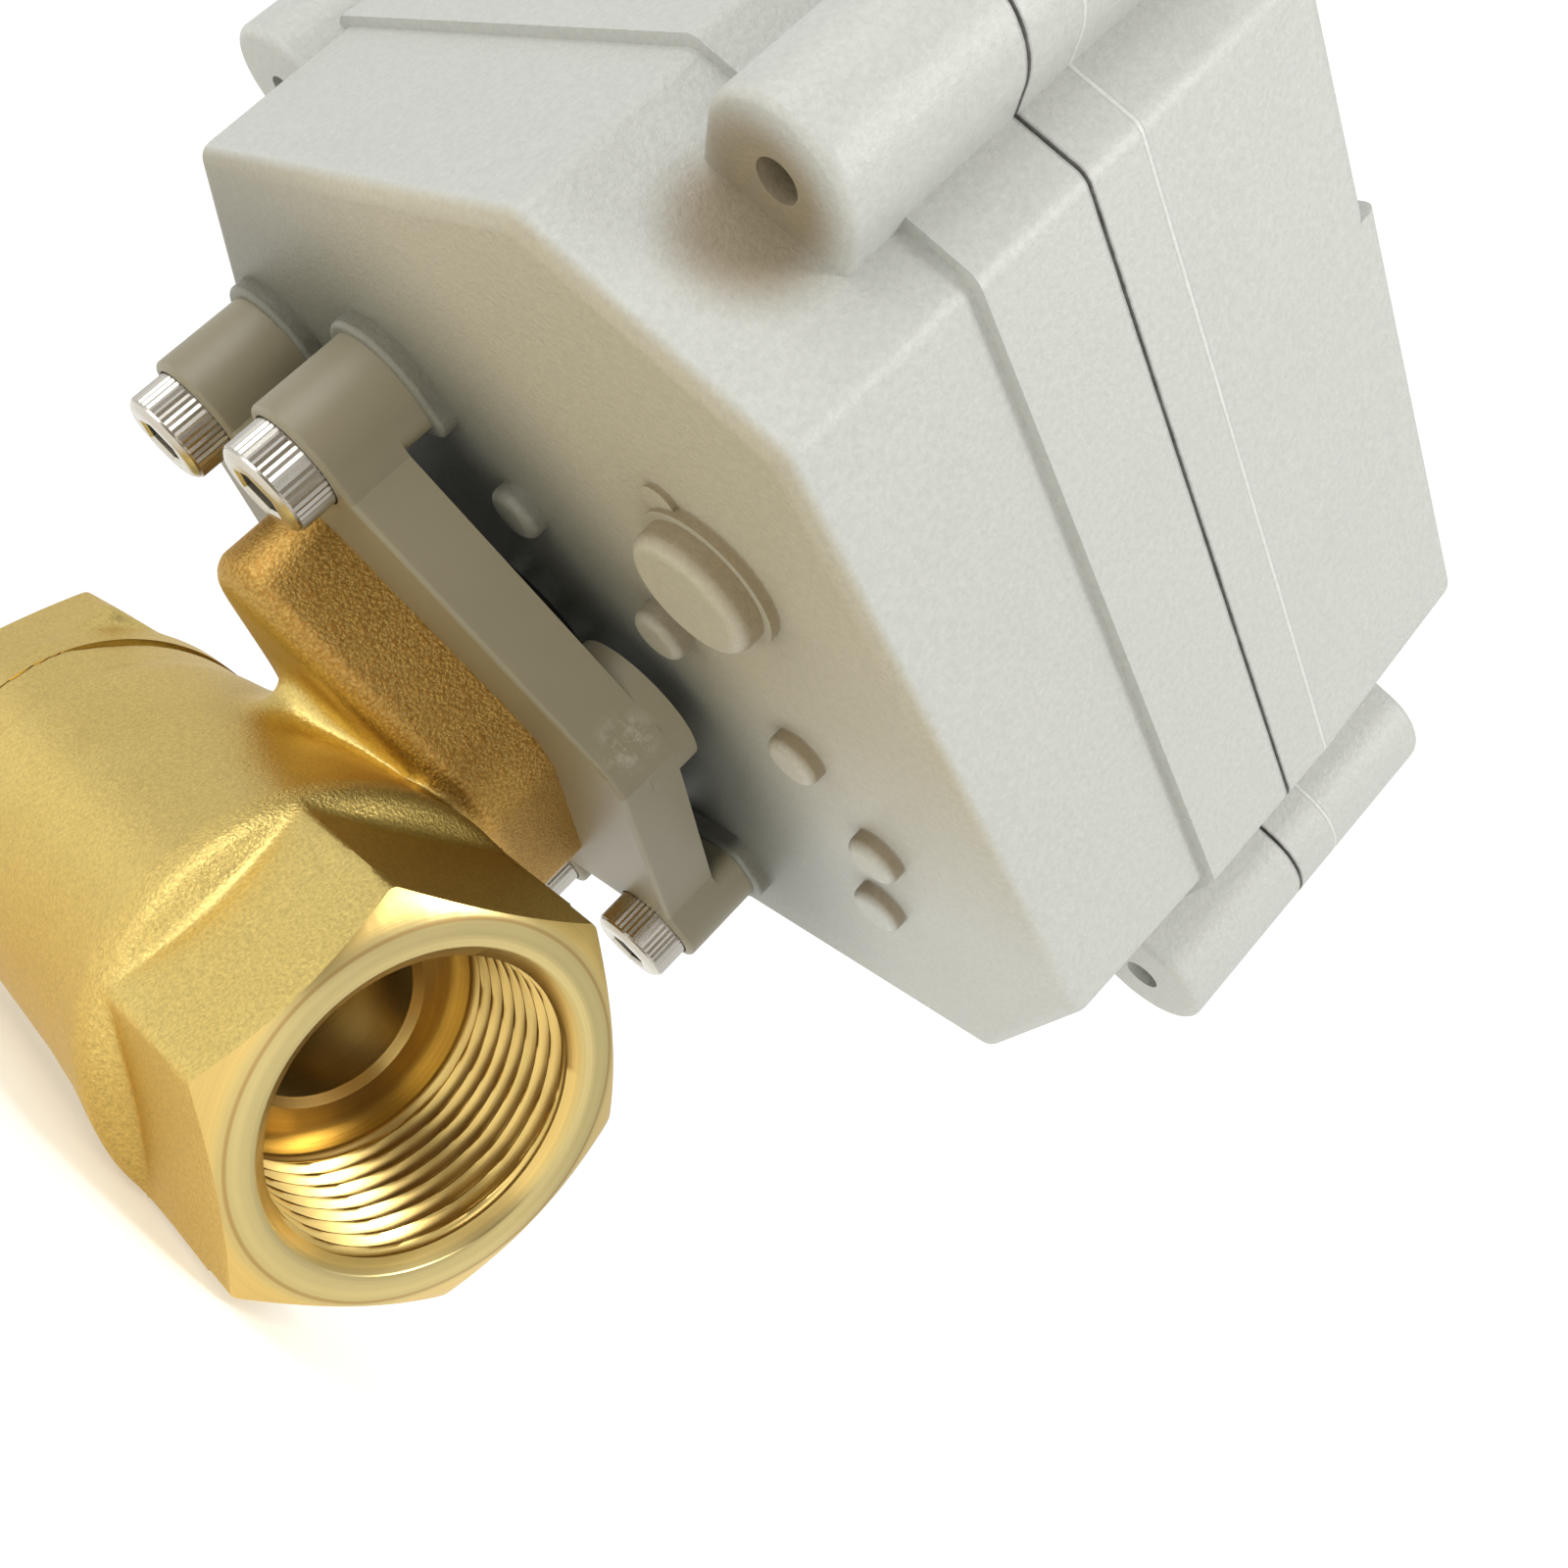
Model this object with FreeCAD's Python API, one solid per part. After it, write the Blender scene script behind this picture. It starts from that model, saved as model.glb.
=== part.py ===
import FreeCAD, Part
import math
import os

from FreeCAD import Vector

# A motorized ball valve: brass valve, bracket, and a two-shell actuator.
# Millimetres. The origin is the centre of the ball, +X runs along the pipe
# out of the near port and +Z runs up the stem to the actuator.

# Clearances that several pieces share
running_gap = 0.05
sliding_gap = 0.1
clear_gap = 0.3
seat_gap = 0.15

# Pipe thread G3/4 in both ports, drawn here at its inner diameter
thread_minor_r = 24.117 / 2
thread_depth = 18.0
port_length = 40.0
hex_flats_face = 31.6
hex_flats_root = 33.0
port_ring_r = 15.4
port_chamfer_slope = 0.58
port_mouth_r = 13.2
hex_corner_angle = 30.0
cap_hex_corner_angle = 15.0

# Valve body
flow_r = 8.0
ball_r = 12.0
ball_bore_r = 7.5
cavity_gap = 0.6
seat_reach = 5.5
seat_back_gap = 0.5
barrel_r = 17.9
barrel_step = 0.6
barrel_step_x = -16.0
swell_r = 18.8
swell_start_x = 6.0
swell_x = 22.4
shoulder_r = 18.0
shoulder_x = 24.0
hex_start_x = 25.4
hex_root_sink = 0.2
body_end_x = -24.5
cap_seal_width = 1.9
cap_seal_thick = 1.5
cap_collar = 4.5
cap_root_chamfer = 2.8

# Stem and brass pad
stem_r = 5.0
stem_collar_r = 7.0
stem_collar_z = 12.3
stem_collar_h = 1.9
thrust_washer_h = 1.0
tang_width = 5.0
tang_length = 9.0
tang_depth = 3.4
o_ring_wire = 1.1
o_ring_groove_w = 1.7
o_ring_low_z = 18.5
o_ring_pitch = 4.0
stem_square = 7.0
stem_square_h = 7.0
pad_top_z = 28.1
pad_h = 9.6
pad_end_y = 17.8
pad_end_r = 5.9
pad_side_x = 11.0
pad_side_r = 6.0
pad_edge_r = 2.4
neck_low_z = 12.0
neck_end_y = 6.0
neck_side_x = 7.6
neck_r = 4.6
neck_flare = 1.6
neck_blend_r = 1.6

# Mounting bracket
plate_h = 6.2
plate_tip_x = 28.7
plate_tip_y = 1.4
column_x = 10.0
column_y = 30.7
column_r = 5.15
column_flat = 3.4
plate_end_y = 29.6
bracket_edge_r = 0.5
column_top_z = 37.2
column_corner_r = 1.6
bracket_bore_r = 8.6
blind_boss_x = 22.0
blind_boss_r = 6.7
blind_boss_h = 2.2

# Screws: M5 through the bracket, M4 in the pad and the housing, M3 inside
m5_r = 2.5
m5_head_r = 4.25
m5_head_h = 5.0
m5_length = 16.0
m5_head_sink = 0.95
m5_socket = 4.0
m4_r = 2.0
m4_head_r = 3.5
m4_head_h = 4.0
m4_length = 10.0
m4_socket = 3.0
pad_screw_y = 16.8
case_screw_length = 24.0
case_head_r = 3.9
case_head_h = 2.6
m3_r = 1.5
m3_head_r = 2.8
m3_head_h = 1.8
m3_length = 8.0
m2_r = 1.1
m2_head_r = 2.0
m2_head_h = 1.3
slot_width = 0.6
slot_depth = 0.6
socket_depth_share = 0.6

# Housing outline at the bottom edge: flats, then the corner cuts
side_x_plus = 61.7
side_x_minus = -25.0
side_y_plus = 42.8
side_y_minus = -49.6
cut_near = (16.6, 14.3)
cut_right = (18.7, 20.4)
cut_far_left = (23.4, 21.7)
cut_far_right = (13.0, 13.0)

# Housing levels and walls
foot_h = 1.7
ledge_h = 16.4
rim_h = 10.2
parting_gap = 0.3
gasket_width = 1.4
gasket_depth = 1.2
ridge_h = 5.65
cover_low_z = 90.0
cover_step = 1.4
cover_step_y = -15.8
wall = 2.3
floor = 3.0
roof = 2.5
base_draft = 0.37
rim_out = 1.28
cover_draft = 0.045
corner_r = 1.8
bottom_edge_r = 1.5
top_edge_r = 1.4
foot_out = 0.9
foot_edge_r = 0.5

# Case screw columns
case_column_r = 5.8
case_column_edge_r = 0.8
case_column_start = 11.1
case_column_top_z = 84.0
case_column_out = 3.9
case_column_far_shift = 6.3
case_column_far_out = 2.4
case_counterbore = 4.0
core_hole_r = 1.6

# Moulding marks under the floor
pip_r = 2.5
pip_h = 1.8
pip_edge_r = 0.9
pip_places = [(41.7, -0.2), (45.2, 10.5)]
motor_post_r = 5.4
motor_post_h = 3.2
motor_post_edge_r = 1.2
motor_post_ring_r = 6.1
motor_post_ring_h = 0.9
small_post_h = 2.2
mark_place = (43.9, -27.2)
mark_r = 1.6
mark_h = 0.5

# Gear train: module, wheel teeth, pinion teeth, and where each axle stands
backlash_share = 0.16
wheel_addendum = 0.7
pinion_addendum = 1.0
dedendum = 1.25
pressure_angle = math.radians(20.0)
output_module = 1.0
output_teeth = 41
output_pinion_teeth = 12
middle_module = 0.8
middle_wheel_teeth = 30
middle_pinion_teeth = 11
fast_module = 0.6
fast_wheel_teeth = 42
fast_pinion_teeth = 11
second_axle_angle = -46.3
first_axle_angle = 29.0
motor_axis_angle = -38.0
travel = 90.0
sector_spare_teeth = 2
sector_hub_r = 10.5
output_gear_h = 6.5
wheel_h = 3.0
fast_wheel_h = 2.5
level_gap = 1.0
axle_r = 1.5
axle_boss_r = 4.0
axle_seat = 2.2

# Output shaft and its bearings
shaft_r = 7.0
shaft_top_r = 5.0
shaft_low_z = 30.0
bearing_r = 9.0
shaft_seal_h = 2.1
bushing_h = 3.4
bearing_boss_r = 12.0
clip_r = 9.2
clip_groove = 1.0
clip_wire = 0.9
clip_open = 8.0
clip_land = 0.4
gear_plate_h = 2.0
gear_plate_post_r = 3.4
gear_plate_posts = [(-12.0, 23.0), (40.1, 20.6), (54.8, -3.0), (26.0, -41.6)]
gear_plate_edge = 5.0
gear_plate_side_edge = 4.0
motor_edge = 0.8
bracket_boss_r = 4.9
bracket_boss_spare = 2.0

# Motor
motor_r = 12.2
motor_h = 22.0
motor_spigot_r = 4.0
motor_ear_reach = 15.5
motor_ear_angle = 105.0
motor_ear_r = 3.4
motor_ear_h = 1.5
armature_r = 9.2
armature_h = 11.0
armature_floor = 4.0
motor_top_bearing = 3.0
motor_edge_r = 1.0
capacitor_r = 5.5
capacitor_h = 17.0
capacitor_edge_r = 0.8
capacitor_place = (37.0, 14.0)

# Cams and limit switches
cam_base_r = 9.0
cam_lobe_r = 11.0
cam_h = 4.0
cam_lobe_angle = 50.0
switch_length = 20.0
switch_depth = 10.2
switch_h = 6.0
switch_standoff = 2.4
switch_gap = 2.6
lever_thick = 0.4
lever_h = 3.6
lever_reach = 15.4
lever_barrel_r = 0.7
lever_pin_x = 8.6
plunger_x = -1.0
plunger_r = 0.6
plunger_h = 0.5
switch_hole_x = 4.8

# Circuit board
board_x = (14.0, 45.0)
board_y = (2.0, 34.0)
board_z_gap = 4.2
board_h = 1.6
board_post_r = 2.8
board_hole_inset = 3.6
board_screw_grip = 3.0
terminal_length = 17.0
terminal_depth = 8.0
terminal_h = 9.5
terminal_ways = 5
terminal_inset = 1.0
terminal_screw_r = 1.1
terminal_sink = 2.0
terminal_mouth_depth = 3.0
terminal_sill = 1.5

# Indicator
window_r = 9.0
window_flange_r = 11.5
window_flange_h = 1.2
window_seal_h = 0.8
pointer_r = 8.0
pointer_h = 1.8
pointer_rim = 1.2
pointer_bar_width = 3.2
pointer_head = 4.2
pointer_spigot_r = 2.5
pointer_spigot_h = 4.0
pointer_gap = 0.7

# Cable gland in the back wall of the cover
gland_y = 6.0
gland_z = 77.5
gland_thread_r = 6.0
gland_boss_r = 10.6
gland_boss_out = 2.0
gland_gasket_h = 1.0
gland_hex = 18.0
gland_hex_h = 5.0
gland_neck_r = 6.6
gland_neck_h = 7.0
gland_nut_wall = 1.6
gland_nose = 1.6
gland_dome = 3.0
gland_locknut_hex = 16.0
gland_locknut_h = 3.0
gland_grip = 3.0
cable_r = 3.25
gland_bore_r = 4.0
gland_seal_r = 5.0
gland_seal_h = 6.0

# Levels worked out from the sizes above
cavity_r = ball_r + cavity_gap
seat_back_x = ball_r + seat_back_gap
plug_r = cavity_r + cap_seal_width
bore_end_x = port_length - thread_depth
plate_z = pad_top_z
plate_top_z = plate_z + plate_h
foot_z = column_top_z
base_z = foot_z + foot_h
floor_z = base_z + floor
ledge_z = base_z + ledge_h
rim_top_z = ledge_z + rim_h - parting_gap / 2
cover_z = ledge_z + rim_h + parting_gap / 2
ridge_z = cover_z + ridge_h
cover_top_z = cover_low_z + cover_step
bearing_top_z = base_z + shaft_seal_h + bushing_h
output_gear_z = bearing_top_z + clear_gap
middle_z = output_gear_z + output_gear_h + level_gap
fast_z = middle_z + wheel_h + level_gap
gear_plate_z = fast_z + fast_wheel_h + level_gap
gear_plate_top_z = gear_plate_z + gear_plate_h
board_z = gear_plate_top_z + board_z_gap
switch_z = gear_plate_top_z + switch_standoff
pointer_top_z = (cover_top_z - roof - window_seal_h - window_flange_h
                 - pointer_gap)
pointer_z = pointer_top_z - pointer_h


def at_angle(centre, distance, degrees):
    turn = math.radians(degrees)
    return (centre[0] + distance * math.cos(turn),
            centre[1] + distance * math.sin(turn))


# Axle places, each at its mesh distance from the one before
output_mesh = output_module * (output_teeth + output_pinion_teeth) / 2
middle_mesh = middle_module * (middle_wheel_teeth + middle_pinion_teeth) / 2
fast_mesh = fast_module * (fast_wheel_teeth + fast_pinion_teeth) / 2
second_axle = at_angle((0.0, 0.0), output_mesh, second_axle_angle)
first_axle = at_angle(second_axle, middle_mesh, first_axle_angle)
motor_axis = at_angle(first_axle, fast_mesh, motor_axis_angle)


# Basic solids

def box(x_span, y_span, z_span):
    size = [span[1] - span[0] for span in (x_span, y_span, z_span)]
    return Part.makeBox(*size, Vector(x_span[0], y_span[0], z_span[0]))


def post(radius, z_low, z_high, place=(0.0, 0.0)):
    foot = Vector(place[0], place[1], z_low)
    return Part.makeCylinder(radius, z_high - z_low, foot)


def tube(radius, bore, z_low, z_high, place=(0.0, 0.0)):
    hole = post(bore, z_low - 1, z_high + 1, place)
    return post(radius, z_low, z_high, place).cut(hole)


def rod_x(radius, x_low, x_high, y=0.0, z=0.0):
    foot = Vector(x_low, y, z)
    return Part.makeCylinder(radius, x_high - x_low, foot, Vector(1, 0, 0))


def tube_x(radius, bore, x_low, x_high, y=0.0, z=0.0):
    hole = rod_x(bore, x_low - 1, x_high + 1, y, z)
    return rod_x(radius, x_low, x_high, y, z).cut(hole)


def fuse_all(shapes):
    whole = shapes[0]
    for shape in shapes[1:]:
        whole = whole.fuse(shape)
    return whole.removeSplitter()


def cut_all(shape, tools):
    for tool in tools:
        shape = shape.cut(tool)
    return shape


def group(shapes):
    return Part.makeCompound(shapes)


def closed_wire(points, z):
    corners = [Vector(x, y, z) for x, y in points]
    return Part.makePolygon(corners + corners[:1])


def prism(points, z_low, z_high):
    face = Part.Face(closed_wire(points, z_low))
    return face.extrude(Vector(0, 0, z_high - z_low))


def revolve_x(profile):
    """Turn a profile of (x, radius) points about the X axis."""
    corners = [Vector(x, 0, r) for x, r in profile]
    face = Part.Face(Part.makePolygon(corners + corners[:1]))
    return face.revolve(Vector(0, 0, 0), Vector(1, 0, 0), 360)


def hexagon_x(flats, x, corner_angle, y=0.0, z=0.0):
    """Six corners of a hexagon that stands across the X axis."""
    reach = flats / 2 / math.cos(math.radians(30))
    angles = [math.radians(corner_angle + 60 * k) for k in range(6)]
    corners = [Vector(x, y + reach * math.cos(a), z + reach * math.sin(a))
               for a in angles]
    return Part.makePolygon(corners + corners[:1])


def hex_bar_x(flats_low, x_low, flats_high, x_high, corner_angle, y=0.0, z=0.0):
    ends = [hexagon_x(flats_low, x_low, corner_angle, y, z),
            hexagon_x(flats_high, x_high, corner_angle, y, z)]
    return Part.makeLoft(ends, True, True)


def hull_wire(circles, z):
    """Outline around circles (x, y, radius) listed anticlockwise."""
    turns = []
    for (x0, y0, r0), (x1, y1, r1) in zip(circles, circles[1:] + circles[:1]):
        heading = math.atan2(y1 - y0, x1 - x0)
        lean = math.asin((r0 - r1) / math.hypot(x1 - x0, y1 - y0))
        turns.append(heading - math.pi / 2 + lean)
    edges = []
    for index, (x, y, r) in enumerate(circles):
        start = turns[index - 1]
        end = turns[index]
        while end < start:
            end += 2 * math.pi
        angles = (start, (start + end) / 2, end)
        marks = [Vector(x + r * math.cos(a), y + r * math.sin(a), z)
                 for a in angles]
        edges.append(Part.Arc(*marks).toShape())
        following = circles[(index + 1) % len(circles)]
        landing = Vector(following[0] + following[2] * math.cos(turns[index]),
                         following[1] + following[2] * math.sin(turns[index]),
                         z)
        edges.append(Part.LineSegment(marks[2], landing).toShape())
    return Part.Wire(Part.__sortEdges__(edges))


def hull_prism(circles, z_low, z_high):
    face = Part.Face(hull_wire(circles, z_low))
    return face.extrude(Vector(0, 0, z_high - z_low))


def edges_at(shape, z):
    return [edge for edge in shape.Edges
            if abs(edge.BoundBox.ZMin - z) < 0.01
            and abs(edge.BoundBox.ZMax - z) < 0.01]


def upright_edges(shape, height):
    """Straight edges that climb the whole stated height."""
    return [edge for edge in shape.Edges
            if edge.BoundBox.ZLength > height - 0.01]


# Housing outline

def housing_outline():
    """Eight corners, anticlockwise from the near end of the -Y side."""
    return [(side_x_minus + cut_far_left[0], side_y_minus),
            (side_x_plus - cut_near[0], side_y_minus),
            (side_x_plus, side_y_minus + cut_near[1]),
            (side_x_plus, side_y_plus - cut_right[1]),
            (side_x_plus - cut_right[0], side_y_plus),
            (side_x_minus + cut_far_right[0], side_y_plus),
            (side_x_minus, side_y_plus - cut_far_right[1]),
            (side_x_minus, side_y_minus + cut_far_left[1])]


def grown(points, out):
    """The same convex outline with every side moved out."""
    lines = []
    for (x0, y0), (x1, y1) in zip(points, points[1:] + points[:1]):
        length = math.hypot(x1 - x0, y1 - y0)
        normal = ((y1 - y0) / length, (x0 - x1) / length)
        lines.append((normal, normal[0] * x0 + normal[1] * y0 + out))
    corners = []
    for (n0, c0), (n1, c1) in zip(lines[-1:] + lines[:-1], lines):
        det = n0[0] * n1[1] - n0[1] * n1[0]
        corners.append(((c0 * n1[1] - c1 * n0[1]) / det,
                        (n0[0] * c1 - n1[0] * c0) / det))
    return corners


def tapered(z_low, out_low, z_high, out_high):
    outline = housing_outline()
    ends = [closed_wire(grown(outline, out_low), z_low),
            closed_wire(grown(outline, out_high), z_high)]
    return Part.makeLoft(ends, True, True)


def case_column_places():
    """Centre of each column and the outward direction of its corner cut."""
    outline = housing_outline()
    places = []
    for first, second in ((1, 2), (3, 4), (5, 6)):
        (x0, y0), (x1, y1) = outline[first], outline[second]
        length = math.hypot(x1 - x0, y1 - y0)
        out = ((y1 - y0) / length, (x0 - x1) / length)
        middle = ((x0 + x1) / 2, (y0 + y1) / 2)
        places.append((middle, out, case_column_out))
    (x0, y0), (x1, y1) = outline[7], outline[0]
    length = math.hypot(x1 - x0, y1 - y0)
    out = ((y1 - y0) / length, (x0 - x1) / length)
    share = case_column_far_shift / length
    near_end = (x1 + (x0 - x1) * share, y1 + (y0 - y1) * share)
    places.append((near_end, out, case_column_far_out))
    return [((x + u * reach, y + v * reach), (u, v))
            for (x, y), (u, v), reach in places]


def case_column(place, out, z_low, z_high):
    """A round column with straight cheeks that run back to the wall."""
    round_part = post(case_column_r, z_low, z_high, place)
    back = case_column_out + wall / 2
    along = (-out[1] * case_column_r, out[0] * case_column_r)
    foot = (place[0] - out[0] * back, place[1] - out[1] * back)
    corners = [(place[0] + along[0], place[1] + along[1]),
               (foot[0] + along[0], foot[1] + along[1]),
               (foot[0] - along[0], foot[1] - along[1]),
               (place[0] - along[0], place[1] - along[1])]
    return round_part.fuse(prism(corners, z_low, z_high)).removeSplitter()


def bracket_screw_places():
    return [(x, y) for x in (-column_x, column_x) for y in (-column_y, column_y)]


def column_outline(place, out, z_low, z_high):
    """A round column with straight sides toward the middle of the plate."""
    x, y = place
    side = math.copysign(1.0, y)
    corner_x = column_r + out - column_corner_r
    corner_y = y - side * (column_flat + out - column_corner_r)
    return hull_prism([(x, y, column_r + out),
                       (x - side * corner_x, corner_y, column_corner_r),
                       (x + side * corner_x, corner_y, column_corner_r)],
                      z_low, z_high)


# Gears

def involute_half_angle(module, teeth, radius):
    pitch_r = module * teeth / 2
    base_r = pitch_r * math.cos(pressure_angle)
    thickness = module * (math.pi / 2 - backlash_share / 2)
    lean = math.tan(pressure_angle) - pressure_angle
    if radius > base_r:
        slope = math.acos(base_r / radius)
    else:
        slope = 0.0
    return thickness / 2 / pitch_r + lean - (math.tan(slope) - slope)


def tooth_points(module, teeth, addendum, middle):
    """Eight points over one tooth, from root to root."""
    pitch_r = module * teeth / 2
    base_r = pitch_r * math.cos(pressure_angle)
    root_r = pitch_r - dedendum * module
    tip_r = pitch_r + addendum * module
    flank = [root_r, max(base_r, root_r + 0.1 * module), pitch_r, tip_r]
    rising = [(r, middle - involute_half_angle(module, teeth, r))
              for r in flank]
    falling = [(r, 2 * middle - angle) for r, angle in reversed(rising)]
    return [(r * math.cos(a), r * math.sin(a)) for r, a in rising + falling]


def spur_gear(module, teeth, addendum, z_low, z_high, place, gap_angle):
    """A full wheel with a tooth gap at the stated angle."""
    pitch = 2 * math.pi / teeth
    points = []
    for index in range(teeth):
        middle = math.radians(gap_angle) + pitch * (index + 0.5)
        points += tooth_points(module, teeth, addendum, middle)
    wheel = prism(points, z_low, z_high)
    wheel.translate(Vector(place[0], place[1], 0))
    return wheel


def gear_sector():
    """The toothed part of the output gear, wide enough for the travel."""
    pitch = 2 * math.pi / output_teeth
    mesh = math.radians(second_axle_angle)
    last = sector_spare_teeth
    first = -math.ceil(math.radians(travel) / pitch) - sector_spare_teeth
    points = [(0.0, 0.0)]
    for index in range(first, last):
        points += tooth_points(output_module, output_teeth, wheel_addendum,
                               mesh + pitch * (index + 0.5))
    return prism(points, output_gear_z, output_gear_z + output_gear_h)


def pinion(module, teeth, z_low, z_high, place, wheel_angle):
    """A pinion with one tooth pointing at the wheel that it meets."""
    toothed_gap = wheel_angle + 180.0 / teeth
    return spur_gear(module, teeth, pinion_addendum, z_low, z_high, place,
                     toothed_gap)


# Screws

def socket_screw(radius, length, head_r, head_h, socket, place, z_seat, up):
    """A socket head screw; its head rests at z_seat and it points up or down."""
    shank = post(radius, 0, length)
    head = post(head_r, -head_h, 0)
    reach = socket / 2 / math.cos(math.radians(30))
    corners = [at_angle((0, 0), reach, 60 * k) for k in range(6)]
    pocket = prism(corners, -head_h - 1, -head_h * (1 - socket_depth_share))
    screw = head.fuse(shank).removeSplitter().cut(pocket)
    if not up:
        screw.rotate(Vector(0, 0, 0), Vector(1, 0, 0), 180)
    screw.translate(Vector(place[0], place[1], z_seat))
    return screw


def pan_screw(radius, length, head_r, head_h, place, z_seat):
    """A small screw with a slotted head, pointing down."""
    slot = box((-head_r, head_r), (-slot_width / 2, slot_width / 2),
               (head_h - slot_depth, head_h + 1))
    head = post(head_r, 0, head_h).cut(slot)
    screw = head.fuse(post(radius, -length, 0)).removeSplitter()
    screw.translate(Vector(place[0], place[1], z_seat))
    return screw


# Valve

def port_bore(mirror=False):
    """The stepped hole of one port: flow bore, thread bore and mouth."""
    mouth_h = port_mouth_r - thread_minor_r
    profile = [(0, 0), (0, flow_r), (bore_end_x, flow_r),
               (bore_end_x, thread_minor_r),
               (port_length - mouth_h, thread_minor_r),
               (port_length, port_mouth_r),
               (port_length + 1, port_mouth_r), (port_length + 1, 0)]
    if mirror:
        profile = [(-x, r) for x, r in profile]
    return revolve_x(profile)


def port_envelope(x_root, root_chamfer=0.0):
    """The turned shape that trims the hexagon at the port face, and at its
    root if it has a chamfer there."""
    corner_r = hex_flats_root / math.cos(math.radians(30)) / 2 + 1
    back = port_length - (corner_r - port_ring_r) * port_chamfer_slope
    front = x_root + root_chamfer
    return revolve_x([(x_root, 0), (x_root, corner_r - root_chamfer),
                      (front, corner_r), (back, corner_r),
                      (port_length, port_ring_r), (port_length, 0)])


def pad_circles(inset=0.0):
    return [(0.0, -pad_end_y, pad_end_r - inset),
            (pad_side_x, 0.0, pad_side_r - inset),
            (0.0, pad_end_y, pad_end_r - inset),
            (-pad_side_x, 0.0, pad_side_r - inset)]


def neck_circles(out):
    radius = neck_r + out
    return [(0.0, -neck_end_y, radius), (neck_side_x, 0.0, radius),
            (0.0, neck_end_y, radius), (-neck_side_x, 0.0, radius)]


def valve_pad():
    """The flat-topped pad under the bracket and the flared neck below it."""
    low = pad_top_z - pad_h
    pad = hull_prism(pad_circles(), low, pad_top_z)
    pad = pad.makeFillet(pad_edge_r, edges_at(pad, low))
    ends = [hull_wire(neck_circles(neck_flare), neck_low_z),
            hull_wire(neck_circles(0.0), low)]
    neck = Part.makeLoft(ends, True, True)
    stump = hull_prism(neck_circles(neck_flare), cavity_r / 2, neck_low_z)
    whole = fuse_all([pad, neck, stump])
    crease = [edge for edge in edges_at(whole, low)
              if edge.BoundBox.XMax < neck_side_x + neck_r + running_gap
              and edge.BoundBox.XMin > -neck_side_x - neck_r - running_gap
              and edge.BoundBox.YMax < neck_end_y + neck_r + running_gap
              and edge.BoundBox.YMin > -neck_end_y - neck_r - running_gap]
    return whole.makeFillet(neck_blend_r, crease)


def valve_body():
    thin_r = barrel_r - barrel_step
    barrel = revolve_x([(body_end_x, 0), (body_end_x, thin_r),
                        (barrel_step_x - barrel_step, thin_r),
                        (barrel_step_x, barrel_r), (swell_start_x, barrel_r),
                        (swell_x, swell_r), (shoulder_x, shoulder_r),
                        (hex_start_x, hex_flats_root / 2 - hex_root_sink),
                        (hex_start_x, 0)])
    hexagon = hex_bar_x(hex_flats_root, swell_x, hex_flats_face, port_length,
                        hex_corner_angle)
    hexagon = hexagon.common(port_envelope(swell_x))
    solid = fuse_all([barrel, hexagon, valve_pad()])
    recess_top = stem_collar_z + stem_collar_h + thrust_washer_h
    holes = [port_bore(),
             rod_x(cavity_r, -seat_back_x, seat_back_x),
             rod_x(plug_r + sliding_gap, body_end_x - 1, -seat_back_x),
             post(stem_collar_r + sliding_gap, cavity_r / 2, recess_top),
             post(stem_r + running_gap, 0, pad_top_z + 1)]
    pilot_z = plate_top_z - m4_head_h - sliding_gap - m4_length - clear_gap
    for y in (-pad_screw_y, pad_screw_y):
        holes.append(post(m4_r + running_gap, pilot_z, pad_top_z + 1, (0, y)))
    return cut_all(solid, holes)


def end_cap():
    seal_x = -seat_back_x - cap_seal_thick
    collar_x = body_end_x - cap_collar
    core = revolve_x([(-seat_back_x, 0),
                      (-seat_back_x, cavity_r - sliding_gap),
                      (seal_x, cavity_r - sliding_gap), (seal_x, plug_r),
                      (body_end_x, plug_r),
                      (body_end_x, barrel_r - barrel_step),
                      (collar_x, barrel_r - barrel_step),
                      (collar_x, 0)])
    hexagon = hex_bar_x(hex_flats_root, -collar_x, hex_flats_face,
                        port_length, cap_hex_corner_angle)
    hexagon = hexagon.common(port_envelope(-collar_x, cap_root_chamfer))
    hexagon.rotate(Vector(0, 0, 0), Vector(0, 0, 1), 180)
    return fuse_all([core, hexagon]).cut(port_bore(mirror=True))


def end_cap_seal():
    return tube_x(plug_r, cavity_r, -seat_back_x - cap_seal_thick,
                  -seat_back_x)


def seat_ring(side):
    ring = tube_x(cavity_r - sliding_gap, flow_r, seat_back_x - seat_reach,
                  seat_back_x)
    ring = ring.cut(Part.makeSphere(ball_r + seat_gap))
    if side < 0:
        ring.rotate(Vector(0, 0, 0), Vector(0, 0, 1), 180)
    return ring


def ball():
    """Closed at rest: the bore lies across the pipe."""
    sphere = Part.makeSphere(ball_r)
    bore = Part.makeCylinder(ball_bore_r, 4 * ball_r, Vector(0, -2 * ball_r, 0),
                             Vector(0, 1, 0))
    slot_half = tang_width / 2 + sliding_gap
    slot_low = stem_collar_z - tang_depth - sliding_gap
    slot = box((-ball_r, ball_r), (-slot_half, slot_half),
               (slot_low, ball_r + 1))
    return cut_all(sphere, [bore, slot])


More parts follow.
